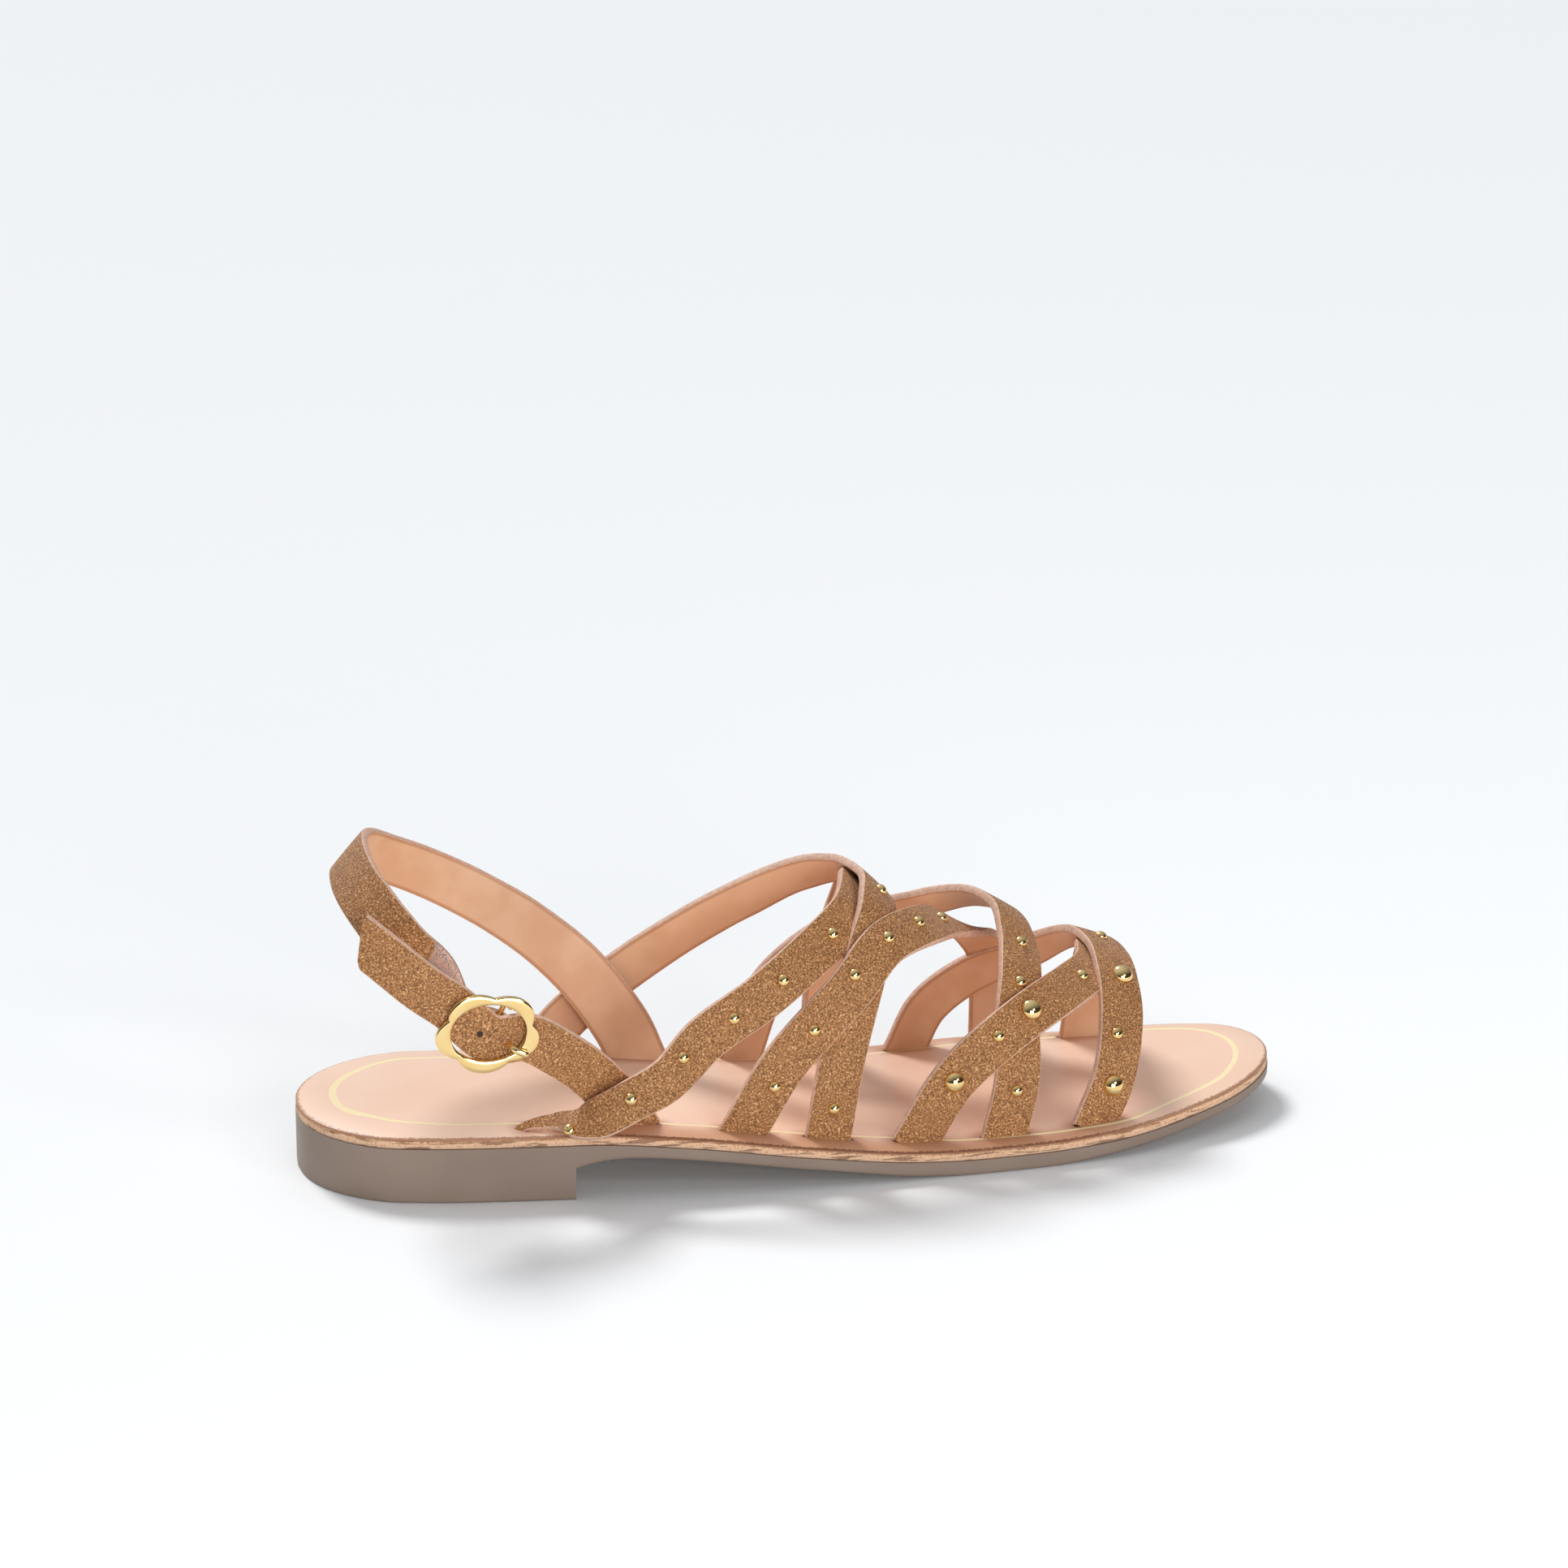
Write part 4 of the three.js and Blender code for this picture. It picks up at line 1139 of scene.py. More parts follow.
def insole_material() -> bpy.types.Material:
    """Insole leather with its printed gold line, painted shade round the strap feet and along the edges
    between them, and worn orange-brown at the rim.

    Returns:
        The material.
    """
    shader = Shader(INSOLE_LEATHER.name)
    broad = shader.noise(30, 2, 0.5)
    fine = shader.noise(0.8, 3, 0.6)
    fibre = shader.noise(INSOLE_RIM.grain, 3, 0.6)
    slit, inset, flex = (shader.attribute(name) for name in ("slit", "inset", "flex"))
    colour = shader.blend(INSOLE_LEATHER, shader.ramp(broad, 0.3, 0.7))
    # Painted shade of the straps: darker orange along the edges between their feet.
    strap_shade_mix = shader.math("MULTIPLY", shader.ramp(inset, STRAP_SHADE_REACH, 1.5), shader.math("MULTIPLY", flex, 0.75))
    colour = shader.over(colour, strap_shade_mix, STRAP_SHADE)
    # Painted shade round the strap feet, within a few millimetres of the slits.
    colour = shader.over(colour, shader.ramp(slit, FOOT_SHADE_REACH, 0.0, 0.7), FOOT_SHADE)
    line = shader.math("ABSOLUTE", shader.attribute("line"))
    past = shader.math("SUBTRACT", line, shader.attribute("line_width"))
    inked = shader.math("MULTIPLY", shader.ramp(past, PRINT_SOFT, -PRINT_SOFT), shader.ramp(slit, 0.6, 1.6))
    colour = shader.over(colour, inked, GOLD_PRINT)
    uneven = shader.math("MULTIPLY", shader.math("SUBTRACT", fibre, 0.5), RAGGED)
    ragged = shader.math("ADD", inset, uneven)
    colour = shader.over(colour, shader.ramp(ragged, WORN_REACH, 0.3, 0.6), WORN)
    # Burnished edge, made darker between the strap feet by painted shade.
    share = shader.math("ADD", 0.35, shader.math("MULTIPLY", flex, 0.5))
    colour = shader.over(colour, shader.math("MULTIPLY", shader.ramp(ragged, 0.7, 0.3), share), BURNISHED)
    # Painted shade in the slits: a dark line where the straps go in.
    colour = shader.over(colour, shader.ramp(slit, 1.0, 0.5), SLIT_SHADE)
    rough = shader.math("SUBTRACT", INSOLE_LEATHER.roughness, shader.math("MULTIPLY", inked, 0.12))
    return shader.surface(INSOLE_LEATHER, colour, fine, rough)


def lining_material() -> bpy.types.Material:
    """Strap lining: smooth leather with fine creases across and worn edges.

    Returns:
        The material.
    """
    shader = Shader(LINING.name)
    broad = shader.noise(LINING.grain, 2, 0.5)
    place = shader.add("ShaderNodeUVMap", uv_map="strap").outputs[0]
    drawn = shader.add("ShaderNodeMapping", {"Vector": place, "Scale": (1.0, 0.18, 1.0)}).outputs[0]
    crease = shader.add("ShaderNodeTexNoise", {
        "Vector": drawn, "Scale": 1 / (CREASE_SIZE * MM), "Detail": 3.0, "Roughness": 0.6}).outputs[0]
    colour = shader.blend(LINING, shader.ramp(broad, 0.35, 0.65))
    colour = shader.over(colour, shader.ramp(shader.attribute("gap"), SEAM_REACH, 0.5, 0.6), WORN)
    return shader.surface(LINING, colour, crease)


def elastic_material() -> bpy.types.Material:
    """Elastic with metallic thread, whose dots carry painted sparkle highlights.

    Returns:
        The material.
    """
    shader = Shader(ELASTIC.name)
    place = shader.add("ShaderNodeUVMap", uv_map="strap").outputs[0]
    cells = shader.add("ShaderNodeTexVoronoi", {"Vector": place, "Scale": 1 / (ELASTIC.grain * MM)})
    # Painted sparkle: cell centres turn near white.
    sparkle_highlight = shader.ramp(cells.outputs["Distance"], 0.45, 0.15)
    return shader.surface(ELASTIC, shader.blend(ELASTIC, sparkle_highlight), sparkle_highlight)


def mesh_object(name: str, points: Array, faces: Sequence[Sequence[int]],
                materials: Sequence[bpy.types.Material], slots: Sequence[int] | None = None,
                uv: Array | None = None, values: dict[str, Array] | None = None) -> bpy.types.Object:
    """Mesh object from lists.

    Args:
        name: Object name.
        points: Vertices in metres.
        faces: Vertex numbers of each face.
        materials: Materials of its slots.
        slots: Material number of each face.
        uv: One pair for each vertex, in metres.
        values: Named values for each vertex.

    Returns:
        The object.
    """
    mesh = bpy.data.meshes.new(name)
    mesh.from_pydata([tuple(p) for p in points], [], [tuple(f) for f in faces])
    for material in materials:
        mesh.materials.append(material)
    if slots is not None:
        mesh.polygons.foreach_set("material_index", list(slots))
    if uv is not None:
        layer = mesh.uv_layers.new(name="strap")
        corners = np.zeros(len(mesh.loops), int)
        mesh.loops.foreach_get("vertex_index", corners)
        layer.data.foreach_set("uv", uv[corners].ravel())
    for key, column in (values or {}).items():
        mesh.attributes.new(key, "FLOAT", "POINT").data.foreach_set("value", column.astype(np.float32))
    mesh.polygons.foreach_set("use_smooth", [True] * len(mesh.polygons))
    mesh.update()
    made = bpy.data.objects.new(name, mesh)
    bpy.context.scene.collection.objects.link(made)
    return made


def ring_faces(rings: int, count: int, flip: bool = False) -> list[tuple[int, ...]]:
    """Faces between closed rings of equal count, with flat ends.

    Args:
        rings: Number of rings.
        count: Points in each.
        flip: Whether to turn the faces round.

    Returns:
        The faces; the two ends come last.
    """
    faces: list[tuple[int, ...]] = []
    for r in range(rings - 1):
        for k in range(count):
            a, b = r * count + k, r * count + (k + 1) % count
            faces.append((a, b, b + count, a + count))
    faces.append(tuple(range(count))[::-1])
    faces.append(tuple(range((rings - 1) * count, rings * count)))
    return [f[::-1] for f in faces] if flip else faces


def join(objects: Sequence[bpy.types.Object], name: str) -> None:
    """Joins objects into the first of them.

    Args:
        objects: The objects.
        name: Name of the result.
    """
    bpy.ops.object.select_all(action="DESELECT")
    for obj in objects:
        obj.select_set(True)
    bpy.context.view_layer.objects.active = objects[0]
    bpy.ops.object.join()
    objects[0].name = name


def keep_sharp(obj: bpy.types.Object, degrees: float) -> None:
    """Shades edges sharper than an angle as sharp.

    Args:
        obj: Mesh object.
        degrees: The angle.
    """
    obj.data.set_sharp_from_angle(angle=math.radians(degrees))


@dataclass
class Shoe:
    """Everything the pieces share while they are built."""

    sole: Sole
    last: Last
    place: Place

    def finish(self, obj: bpy.types.Object, slot: Slot, *nodes: str) -> bpy.types.Object:
        """Attaches a finished piece to the root, hides the part's nodes that it stands for and logs it.

        Args:
            obj: The piece.
            slot: Not used.
            nodes: Nodes of the part that it stands for.

        Returns:
            The piece.
        """
        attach(obj, "root")
        if nodes:
            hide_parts(*nodes)
        LOG.info("built %s, %d faces", obj.name, len(obj.data.polygons))
        return obj


@dataclass
class Outsole:
    """Outsole with rounded lower edges."""

    shoe: Shoe
    stations: int = 320
    rounding: float = 0.9
    corner_steps: int = 5
    breast_gap: float = 0.04

    def ring(self, x: float) -> list[tuple[float, float, float]]:
        """Cross-section of the outsole.

        Args:
            x: Place along the foot.

        Returns:
            Its points, from the outer top down and round to the inner top.
        """
        sole = self.shoe.sole
        outer, inner = sole.edges(x)
        outer, inner = outer - INSOLE_LEDGE, inner + INSOLE_LEDGE
        low, high = sole.underside(x), sole.seat(x)
        r = min(self.rounding, (inner - outer) / 4, (high - low) / 2)
        corner = [(r * math.cos(a), r * math.sin(a))
                  for a in np.radians(np.linspace(0, 90, self.corner_steps))]
        ring = [(x, outer, high), (x, outer, (high + low) / 2)]
        ring += [(x, outer + r - across, low + r - down) for across, down in corner]
        ring += [(x, inner - r + across, low + r - down) for across, down in reversed(corner)]
        return [*ring, (x, inner, (high + low) / 2), (x, inner, high)]

    def build(self) -> bpy.types.Object:
        """Builds the outsole.

        Returns:
            The piece.
        """
        places = self.shoe.sole.stations(self.stations, (HEEL_BLOCK, HEEL_BLOCK + self.breast_gap))
        rings = [self.ring(x) for x in places]
        points = np.array(rings).reshape(-1, 3)
        faces = ring_faces(len(rings), len(rings[0]))
        obj = mesh_object("outsole_look", self.shoe.place.metres(points), faces, [rubber_material()])
        keep_sharp(obj, 40)
        return self.shoe.finish(obj, Slot.OUTSOLE, "outsole")


@dataclass
class Insole:
    """Insole board: top leather with its printed line, and the raw rim."""

    shoe: Shoe
    feet: list[tuple[Array, Array]]
    stations: int = 420
    across: int = 110
    rim_levels: tuple[float, ...] = (0.0, 0.25, 0.5, 0.75)
    edge_share: float = 0.28
    side_blend: float = 6.0
    thin_line: float = 0.42
    line_growth: float = 0.38
    heel_turn: float = 8.0
    heel_spread: float = 18.0
    toe_turn: float = 214.0
    toe_spread: float = 16.0
    # Stretch along the foot of the painted strap shade, in millimetres.
    strap_shade_start: float = 48.0
    strap_shade_in: float = 14.0
    strap_shade_end: float = 188.0
    strap_shade_out: float = 20.0

    def heights(self, top: float, inset: Array) -> Array:
        """Heights of the top across the board, which falls and rounds off towards its edge.

        Args:
            top: Height in its middle.
            inset: Distances from the edge.

        Returns:
            One height for each distance.
        """
        share = np.minimum(inset / SLIT_INSET, 1)
        rise = np.minimum(inset / (RIM_ROUND * 1.6), 1)
        return top - RIM_DROP * (1 - share) ** 2 - RIM_ROUND * (1 - np.sqrt(1 - (1 - rise) ** 2))

    def strap_shade_and_line(self, x: Array) -> tuple[Array, Array]:
        """How much painted strap shade lies along the edges, and how wide the printed line is.

        Args:
            x: Places along the foot.

        Returns:
            Shares of bending, and half widths of the line in millimetres.
        """
        heel = np.exp(-((x - self.heel_turn) / self.heel_spread) ** 2)
        toe = np.exp(-((x - self.toe_turn) / self.toe_spread) ** 2)
        start = np.clip((x - self.strap_shade_start) / self.strap_shade_in, 0, 1)
        end = np.clip((self.strap_shade_end - x) / self.strap_shade_out, 0, 1)
        return start * end, self.thin_line + self.line_growth * np.maximum(heel, toe)

    def build(self) -> bpy.types.Object:
        """Builds the insole.

        Returns:
            The piece.
        """
        sole = self.shoe.sole
        even = np.linspace(-1, 1, self.across)
        spread = (1 - self.edge_share) * even + self.edge_share * np.sin(even * np.pi / 2)
        xs = sole.stations(self.stations)
        edges = [sole.edges(x) for x in xs]
        plan = np.array([[(x, o + (i - o) * s) for s in 0.5 + 0.5 * spread]
                         for x, (o, i) in zip(xs, edges)])
        inset = sole.distance(plan.reshape(-1, 2)).reshape(plan.shape[:2])
        rim = len(self.rim_levels)
        count = self.across + 2 * rim
        points = []
        for x, row, gap in zip(xs, plan, inset):
            base = sole.seat(x) + CLEARANCE * 0.2
            z = self.heights(sole.top(x), gap)
            points += [(x, row[0][1], base + (z[0] - base) * v) for v in self.rim_levels]
            points += [(x, y, h) for (_, y), h in zip(row, z)]
            points += [(x, row[-1][1], base + (z[-1] - base) * v) for v in reversed(self.rim_levels)]
        points = np.array(points)
        insets = np.pad(inset, ((0, 0), (rim, rim))).ravel()
        level = [*self.rim_levels, *([1.0] * self.across), *reversed(self.rim_levels)]
        middle = np.repeat([sum(pair) / 2 for pair in edges], count)
        inner_side = np.clip((points[:, 1] - middle) / self.side_blend + 0.5, 0, 1)
        outer_line, inner_line = (np.repeat([read(GOLD_LINE, side, x / SOLE_LENGTH) for x in xs], count)
                                  for side in ("outer", "inner"))
        flex, line_width = self.strap_shade_and_line(points[:, 0])
        values = {
            "flex": flex, "level": np.tile(level, len(xs)), "inset": insets,
            "line": insets - outer_line - (inner_line - outer_line) * inner_side,
            "line_width": line_width, "slit": self.slit_distance(points),
        }
        sides = [int(k < rim or k >= count - rim - 1) for k in range(count)]
        obj = mesh_object("insole_look", self.shoe.place.metres(points),
                          ring_faces(len(xs), count, flip=True), [insole_material(), rim_material()],
                          sides * (len(xs) - 1) + [1, 1], values=values)
        keep_sharp(obj, 50)
        return self.shoe.finish(obj, Slot.INSOLE, "insole")

    def slit_distance(self, points: Array) -> Array:
        """Distance in plan to the nearest strap foot.

        Args:
            points: Insole points.

        Returns:
            One distance for each point.
        """
        nearest = np.full(len(points), SOLE_LENGTH)
        for start, end in self.feet:
            step = (end - start)[:2]
            s = np.clip((points[:, :2] - start[:2]) @ step / (step @ step), 0, 1)
            gap = points[:, :2] - start[:2] - s[:, None] * step
            nearest = np.minimum(nearest, np.hypot(gap[:, 0], gap[:, 1]))
        return nearest


@dataclass
class Strap:
    """One flat strap with fabric outside, lining inside and painted edges."""

    shoe: Shoe
    name: str
    frames: Frames
    width: float
    thickness: float = STRAP_THICKNESS
    sink: float = 2.0
    bevel: float = 0.0
    both_feet: bool = True
    corner: float = 0.45
    chamfer: float = 0.2
    bulge: float = 0.05
    crown: float = 0.10
    tail_run: float = 14.0
    tail_corner: float = 1.6
    corner_cut: float = 1.2

    def section(self, share: float) -> list[tuple[float, float, Side]]:
        """Cross-section.

        Args:
            share: Share of full width there.

        Returns:
            Offsets across and outward, and the material of the face that starts there.
        """
        w, t, q = self.width * share / 2, self.thickness, self.chamfer
        r = min(self.corner, w / 2)
        corner = [(w - r + r * math.cos(a), t - r + r * math.sin(a)) for a in np.radians([0, 30, 60, 90])]
        edge = [(w - q, 0.0), (w - q * 0.3, q * 0.3), (w, q), (w + self.bulge, t / 2), *corner[:2]]
        face = [(a * (w - r), t + self.crown * share * (1 - a * a)) for a in np.linspace(1, -1, 12)[1:-1]]
        points = [(a * (w - q), 0.0, Side.LINING) for a in np.linspace(-1, 1, 7)[:-1]]
        points += [(a, b, Side.EDGE) for a, b in edge]
        points += [(a, b, Side.FABRIC) for a, b in [*corner[2:], *face, (-corner[3][0], corner[3][1])]]
        points += [(-a, b, Side.EDGE) for a, b in [corner[2], *reversed(edge[1:])]]
        return points

    def build(self, materials: Sequence[bpy.types.Material]) -> bpy.types.Object:
        """Builds the strap's mesh.

        Args:
            materials: Fabric, lining and edge.

        Returns:
            The object, not yet attached.
        """
        f = self.frames
        ends = (1, int(self.both_feet))
        along_, out, wide = (np.pad(a, (ends, (0, 0)), mode="edge") for a in (f.along, f.out, f.wide))
        point, width = np.pad(f.point, (ends, (0, 0)), mode="edge"), np.pad(f.width, ends, mode="edge")
        point[0] -= along_[0] * self.sink
        if self.both_feet:
            point[-1] += along_[-1] * self.sink
        steps = np.linalg.norm(np.diff(point, axis=0), axis=1)
        length = np.concatenate([[0], np.cumsum(steps)])
        points, uvs, gaps = [], [], []
        for i in range(len(point)):
            section = self.section(width[i])
            half = self.width * width[i] / 2
            near_tail = max(0.0, 1 - (length[-1] - length[i]) / self.tail_run)
            for (a, b, _), run in zip(section, self.runs(section)):
                back = self.tail(a, half) * near_tail if self.bevel else 0.0
                points.append(point[i] + wide[i] * a + out[i] * b - along_[i] * back)
                uvs.append((length[i] - back, run))
                gaps.append(half - abs(a))
        sides = [int(side) for _, _, side in section]
        slots = sides * (len(point) - 1) + [int(Side.EDGE)] * 2
        obj = mesh_object(self.name, self.shoe.place.metres(np.array(points)),
                          ring_faces(len(point), len(section)), materials, slots,
                          uv=np.array(uvs) * MM, values={"gap": np.array(gaps)})
        keep_sharp(obj, 55)
        return obj

    def runs(self, section: Sequence[tuple[float, float, Side]]) -> Array:
        """Distances round a section.

        Args:
            section: The section.

        Returns:
            The distance of each of its points from the first.
        """
        place = np.array([(a, b) for a, b, _ in section])
        return np.concatenate([[0], np.cumsum(np.linalg.norm(np.diff(place, axis=0), axis=1))])

    def punch(self) -> tuple[float, float]:
        """Place of the spare hole, just behind the buckle.

        Returns:
            Its place along and around the strap.
        """
        section = self.section(1)
        face = [(a, run) for (a, _, side), run in zip(section, self.runs(section)) if side == Side.FABRIC]
        around = float(np.interp(0, *zip(*sorted(face))))
        share = seat_share(BUCKLE_AT, BUCKLE_STRAP_SECTIONS, 1)
        return self.sink + share * path_length(self.frames.point) + PUNCH_BEHIND, around

    def tail(self, a: float, half: float) -> float:
        """How far the slanted tail is cut back.

        Args:
            a: Offset across.
            half: Half the width.

        Returns:
            The cut in millimetres.
        """
        corner = max(0.0, 1 - (half - abs(a)) / self.tail_corner) ** 2 * self.corner_cut
        return self.bevel * (half + a) / (2 * half) + corner


@dataclass
class StudSet:
    """All studs, set out by a node tree from one point for each stud."""

    shoe: Shoe
    straps: dict[int, Frames]
    sides: int = 40
    sunk: float = 0.06
    lip: float = 0.03
    lift: float = 0.08

    def dome(self) -> bpy.types.Object:
        """One stud of diameter one, in millimetres along Z.

        Returns:
            The dome object.
        """
        dome = np.radians(np.linspace(8, 82, 10))
        profile = [(0.0, -self.sunk), (0.44, -self.sunk), (0.49, 0.0), (0.5, self.lip)]
        profile += [(0.5 * math.cos(a), self.lip + (STUD_RISE - self.lip) * math.sin(a)) for a in dome]
        sides = self.sides
        points, faces = [(0.0, 0.0, profile[0][1])], []
        for radius, height in profile[1:]:
            points += [(radius * math.cos(a), radius * math.sin(a), height)
                       for a in np.linspace(0, 2 * math.pi, sides, endpoint=False)]
        points.append((0.0, 0.0, STUD_RISE))
        rings = len(profile) - 1
        for k in range(sides):
            faces.append((0, 1 + (k + 1) % sides, 1 + k))
            last = 1 + (rings - 1) * sides
            faces.append((last + k, last + (k + 1) % sides, len(points) - 1))
            for r in range(rings - 1):
                a, b = 1 + r * sides + k, 1 + r * sides + (k + 1) % sides
                faces.append((a, b, b + sides, a + sides))
        return mesh_object("stud_dome", np.array(points) * MM, faces, [])

    def tree(self, dome: bpy.types.Object, material: bpy.types.Material) -> bpy.types.NodeTree:
        """Node tree that puts a dome on every point.

        Args:
            dome: The dome.
            material: Its material.

        Returns:
            The tree.
        """
        tree = bpy.data.node_groups.new("stud setter", "GeometryNodeTree")
        face = tree.interface
        face.new_socket("Geometry", in_out="INPUT", socket_type="NodeSocketGeometry")
        face.new_socket("Dome", in_out="INPUT", socket_type="NodeSocketObject")
        face.new_socket("Metal", in_out="INPUT", socket_type="NodeSocketMaterial")
        face.new_socket("Geometry", in_out="OUTPUT", socket_type="NodeSocketGeometry")
        new, link = tree.nodes.new, tree.links.new
        start, end = new("NodeGroupInput"), new("NodeGroupOutput")
        info = new("GeometryNodeObjectInfo")
        link(start.outputs["Dome"], info.inputs["Object"])
        out_way, size = new("GeometryNodeInputNamedAttribute"), new("GeometryNodeInputNamedAttribute")
        out_way.data_type = "FLOAT_VECTOR"
        out_way.inputs["Name"].default_value = "out"
        size.data_type = "FLOAT"
        size.inputs["Name"].default_value = "size"
        turn = new("FunctionNodeAlignRotationToVector")
        turn.axis = "Z"
        link(out_way.outputs["Attribute"], turn.inputs["Vector"])
        setter = new("GeometryNodeInstanceOnPoints")
        link(start.outputs["Geometry"], setter.inputs["Points"])
        link(info.outputs["Geometry"], setter.inputs["Instance"])
        link(turn.outputs["Rotation"], setter.inputs["Rotation"])
        link(size.outputs["Attribute"], setter.inputs["Scale"])
        real, paint = new("GeometryNodeRealizeInstances"), new("GeometryNodeSetMaterial")
        link(setter.outputs["Instances"], real.inputs["Geometry"])
        link(real.outputs["Geometry"], paint.inputs["Geometry"])
        link(start.outputs["Metal"], paint.inputs["Material"])
        link(paint.outputs["Geometry"], end.inputs["Geometry"])
        return tree

    def build(self, material: bpy.types.Material) -> bpy.types.Object:
        """Builds all studs as one mesh.

        Args:
            material: The metal.

        Returns:
            The piece.
        """
        points, outs, sizes, nodes = [], [], [], []
        for number, rows in STUDS.items():
            frames = self.straps[number]
            sections = FIRST_STRAP_SECTIONS if number == 1 else STRAP_SECTIONS
            for i, row in enumerate(rows):
                share = seat_share(row.along, sections, 2)
                point, _, out, wide = frames.at(share)
                points.append(point + out * (STRAP_THICKNESS + self.lift) + wide * row.shift * STRAP_WIDTH)
                outs.append(out)
                sizes.append(LARGE_STUD if row.large else SMALL_STUD)
                nodes.append(f"stud_{number}_{i + 1}")
        cloud = mesh_object("stud_points", self.shoe.place.metres(np.array(points)), [], [])
        cloud.data.attributes.new("out", "FLOAT_VECTOR", "POINT").data.foreach_set(
            "vector", np.array(outs, np.float32).ravel())
        cloud.data.attributes.new("size", "FLOAT", "POINT").data.foreach_set(
            "value", np.array(sizes, np.float32))
        dome = self.dome()
        modifier = cloud.modifiers.new("studs", "NODES")
        modifier.node_group = self.tree(dome, material)
        names = {item.name: item.identifier for item in modifier.node_group.interface.items_tree
                 if item.in_out == "INPUT"}
        modifier[names["Dome"]] = dome
        modifier[names["Metal"]] = material
        bpy.context.view_layer.update()
        baked = bpy.data.meshes.new_from_object(cloud.evaluated_get(bpy.context.evaluated_depsgraph_get()))
        obj = bpy.data.objects.new("studs_look", baked)
        bpy.context.scene.collection.objects.link(obj)
        bpy.data.objects.remove(cloud)
        bpy.data.objects.remove(dome)
        keep_sharp(obj, 50)
        return self.shoe.finish(obj, Slot.GOLD, *nodes)


@dataclass
class Buckle:
    """Flower-shaped buckle with its bar and prong, and the elastic that loops round the bar."""

    shoe: Shoe
    strap: Frames
    sling: Frames
    depth: float = BAR_DIAMETER / 2 + 2 * CLEARANCE + ELASTIC_THICKNESS
    back: float = STRAP_THICKNESS + CLEARANCE
    ring_steps: int = 360
    ring_edge: float = 0.72
    bar_bend: float = 0.7
    prong_ahead: float = 3.2
    elastic_start: float = -6.0
    elastic_rise: float = 0.8
    elastic_lift: float = 0.6

    def axes(self) -> tuple[Array, Array, Array, Array]:
        """Buckle axes.

        Returns:
            Origin on the strap's inner face, forward, up and outward directions.
        """
        middle, foot_side, tail_side = (
            self.strap.at(seat_share(BUCKLE_AT + step, BUCKLE_STRAP_SECTIONS, 1))
            for step in (0, -RING_SPAN / 2, RING_SPAN / 2))
        out = middle[2]
        up = unit(np.cross(out, foot_side[0] - tail_side[0]))
        return middle[0], np.cross(up, out), up, out

    def plan(self, local: Array) -> Array:
        """Local points in the shoe's millimetres.

        Args:
            local: Rows of forward, up and outward offsets.

        Returns:
            Rows of millimetres.
        """
        origin, forward, up, out = self.axes()
        local = np.asarray(local, float)
        return origin + local[:, :1] * forward + local[:, 1:2] * up + local[:, 2:] * out

    def world(self, local: Array) -> Array:
        """Local points in the part's frame.

        Args:
            local: Rows of forward, up and outward offsets.

        Returns:
            Rows of metres.
        """
        return self.shoe.place.metres(self.plan(local))

    def ring(self, material: bpy.types.Material) -> bpy.types.Object:
        """The flower-shaped ring, softly domed between its inner and outer edge.

        Args:
            material: The metal.

        Returns:
            The object.
        """
        steps, edge = self.ring_steps, self.ring_edge
        turn = np.array(Matrix.Rotation(math.radians(BUCKLE_TURN), 2))
        section = [(0.0, 0.0), (0.0, edge - 0.1)]
        section += [(0.5 - 0.5 * math.cos(a), edge + (1 - edge) * math.sin(a) ** 0.8)
                    for a in np.linspace(0, math.pi, 15)]
        section += [(1.0, edge - 0.1), (1.0, 0.0)]
        points = []
        for angle in np.linspace(0, 2 * math.pi, steps, endpoint=False):
            lobe = abs(math.sin(PETALS * (angle - math.radians(PETAL_TURN)) / 2))
            way = np.array([math.cos(angle), math.sin(angle)]) / 2
            outer = way * [BUCKLE_LENGTH, BUCKLE_HEIGHT] * (1 - PETAL_DEPTH * (1 - lobe))
            inner = way * [OPENING_LENGTH, OPENING_HEIGHT]
            for across, height in section:
                x, y = turn @ (outer + (inner - outer) * across)
                points.append((x, y + BUCKLE_RISE, self.back + BUCKLE_PLATE * height))
        count = len(section)
        around = [(i * count, (i + 1) % steps * count, k, (k + 1) % count)
                  for i in range(steps) for k in range(count)]
        faces = [(there + k, there + after, here + after, here + k) for here, there, k, after in around]
        obj = mesh_object("buckle_ring", self.world(points), faces, [material])
        keep_sharp(obj, 40)
        return obj

    def wire(self, name: str, local: Array, diameter: float, material: bpy.types.Material,
             count: int) -> bpy.types.Object:
        """Round wire through local points.

        Args:
            name: Object name.
            local: Its points.
            diameter: Wire diameter.
            material: The metal.
            count: Number of stations.

        Returns:
            The object.
        """
        points, _ = Curve(local).even(count)
        direction = unit(np.gradient(points, axis=0))
        side = unit(np.cross(direction, [0.21, 0.9, 0.31]))
        other = np.cross(direction, side)
        sides = 20
        turns = np.linspace(0, 2 * math.pi, sides, endpoint=False)
        spacing = float(np.linalg.norm(points[1] - points[0]))
        radius = diameter / 2
        rings = []
        for i in range(count):
            away = min(1.0, min(i, count - 1 - i) * spacing / radius)
            shrink = math.sqrt(max(0.01, 1 - (1 - away) ** 2))
            for a in turns:
                rings.append(points[i] + radius * shrink * (side[i] * math.cos(a) + other[i] * math.sin(a)))
        return mesh_object(name, self.world(np.array(rings)), ring_faces(count, sides), [material])

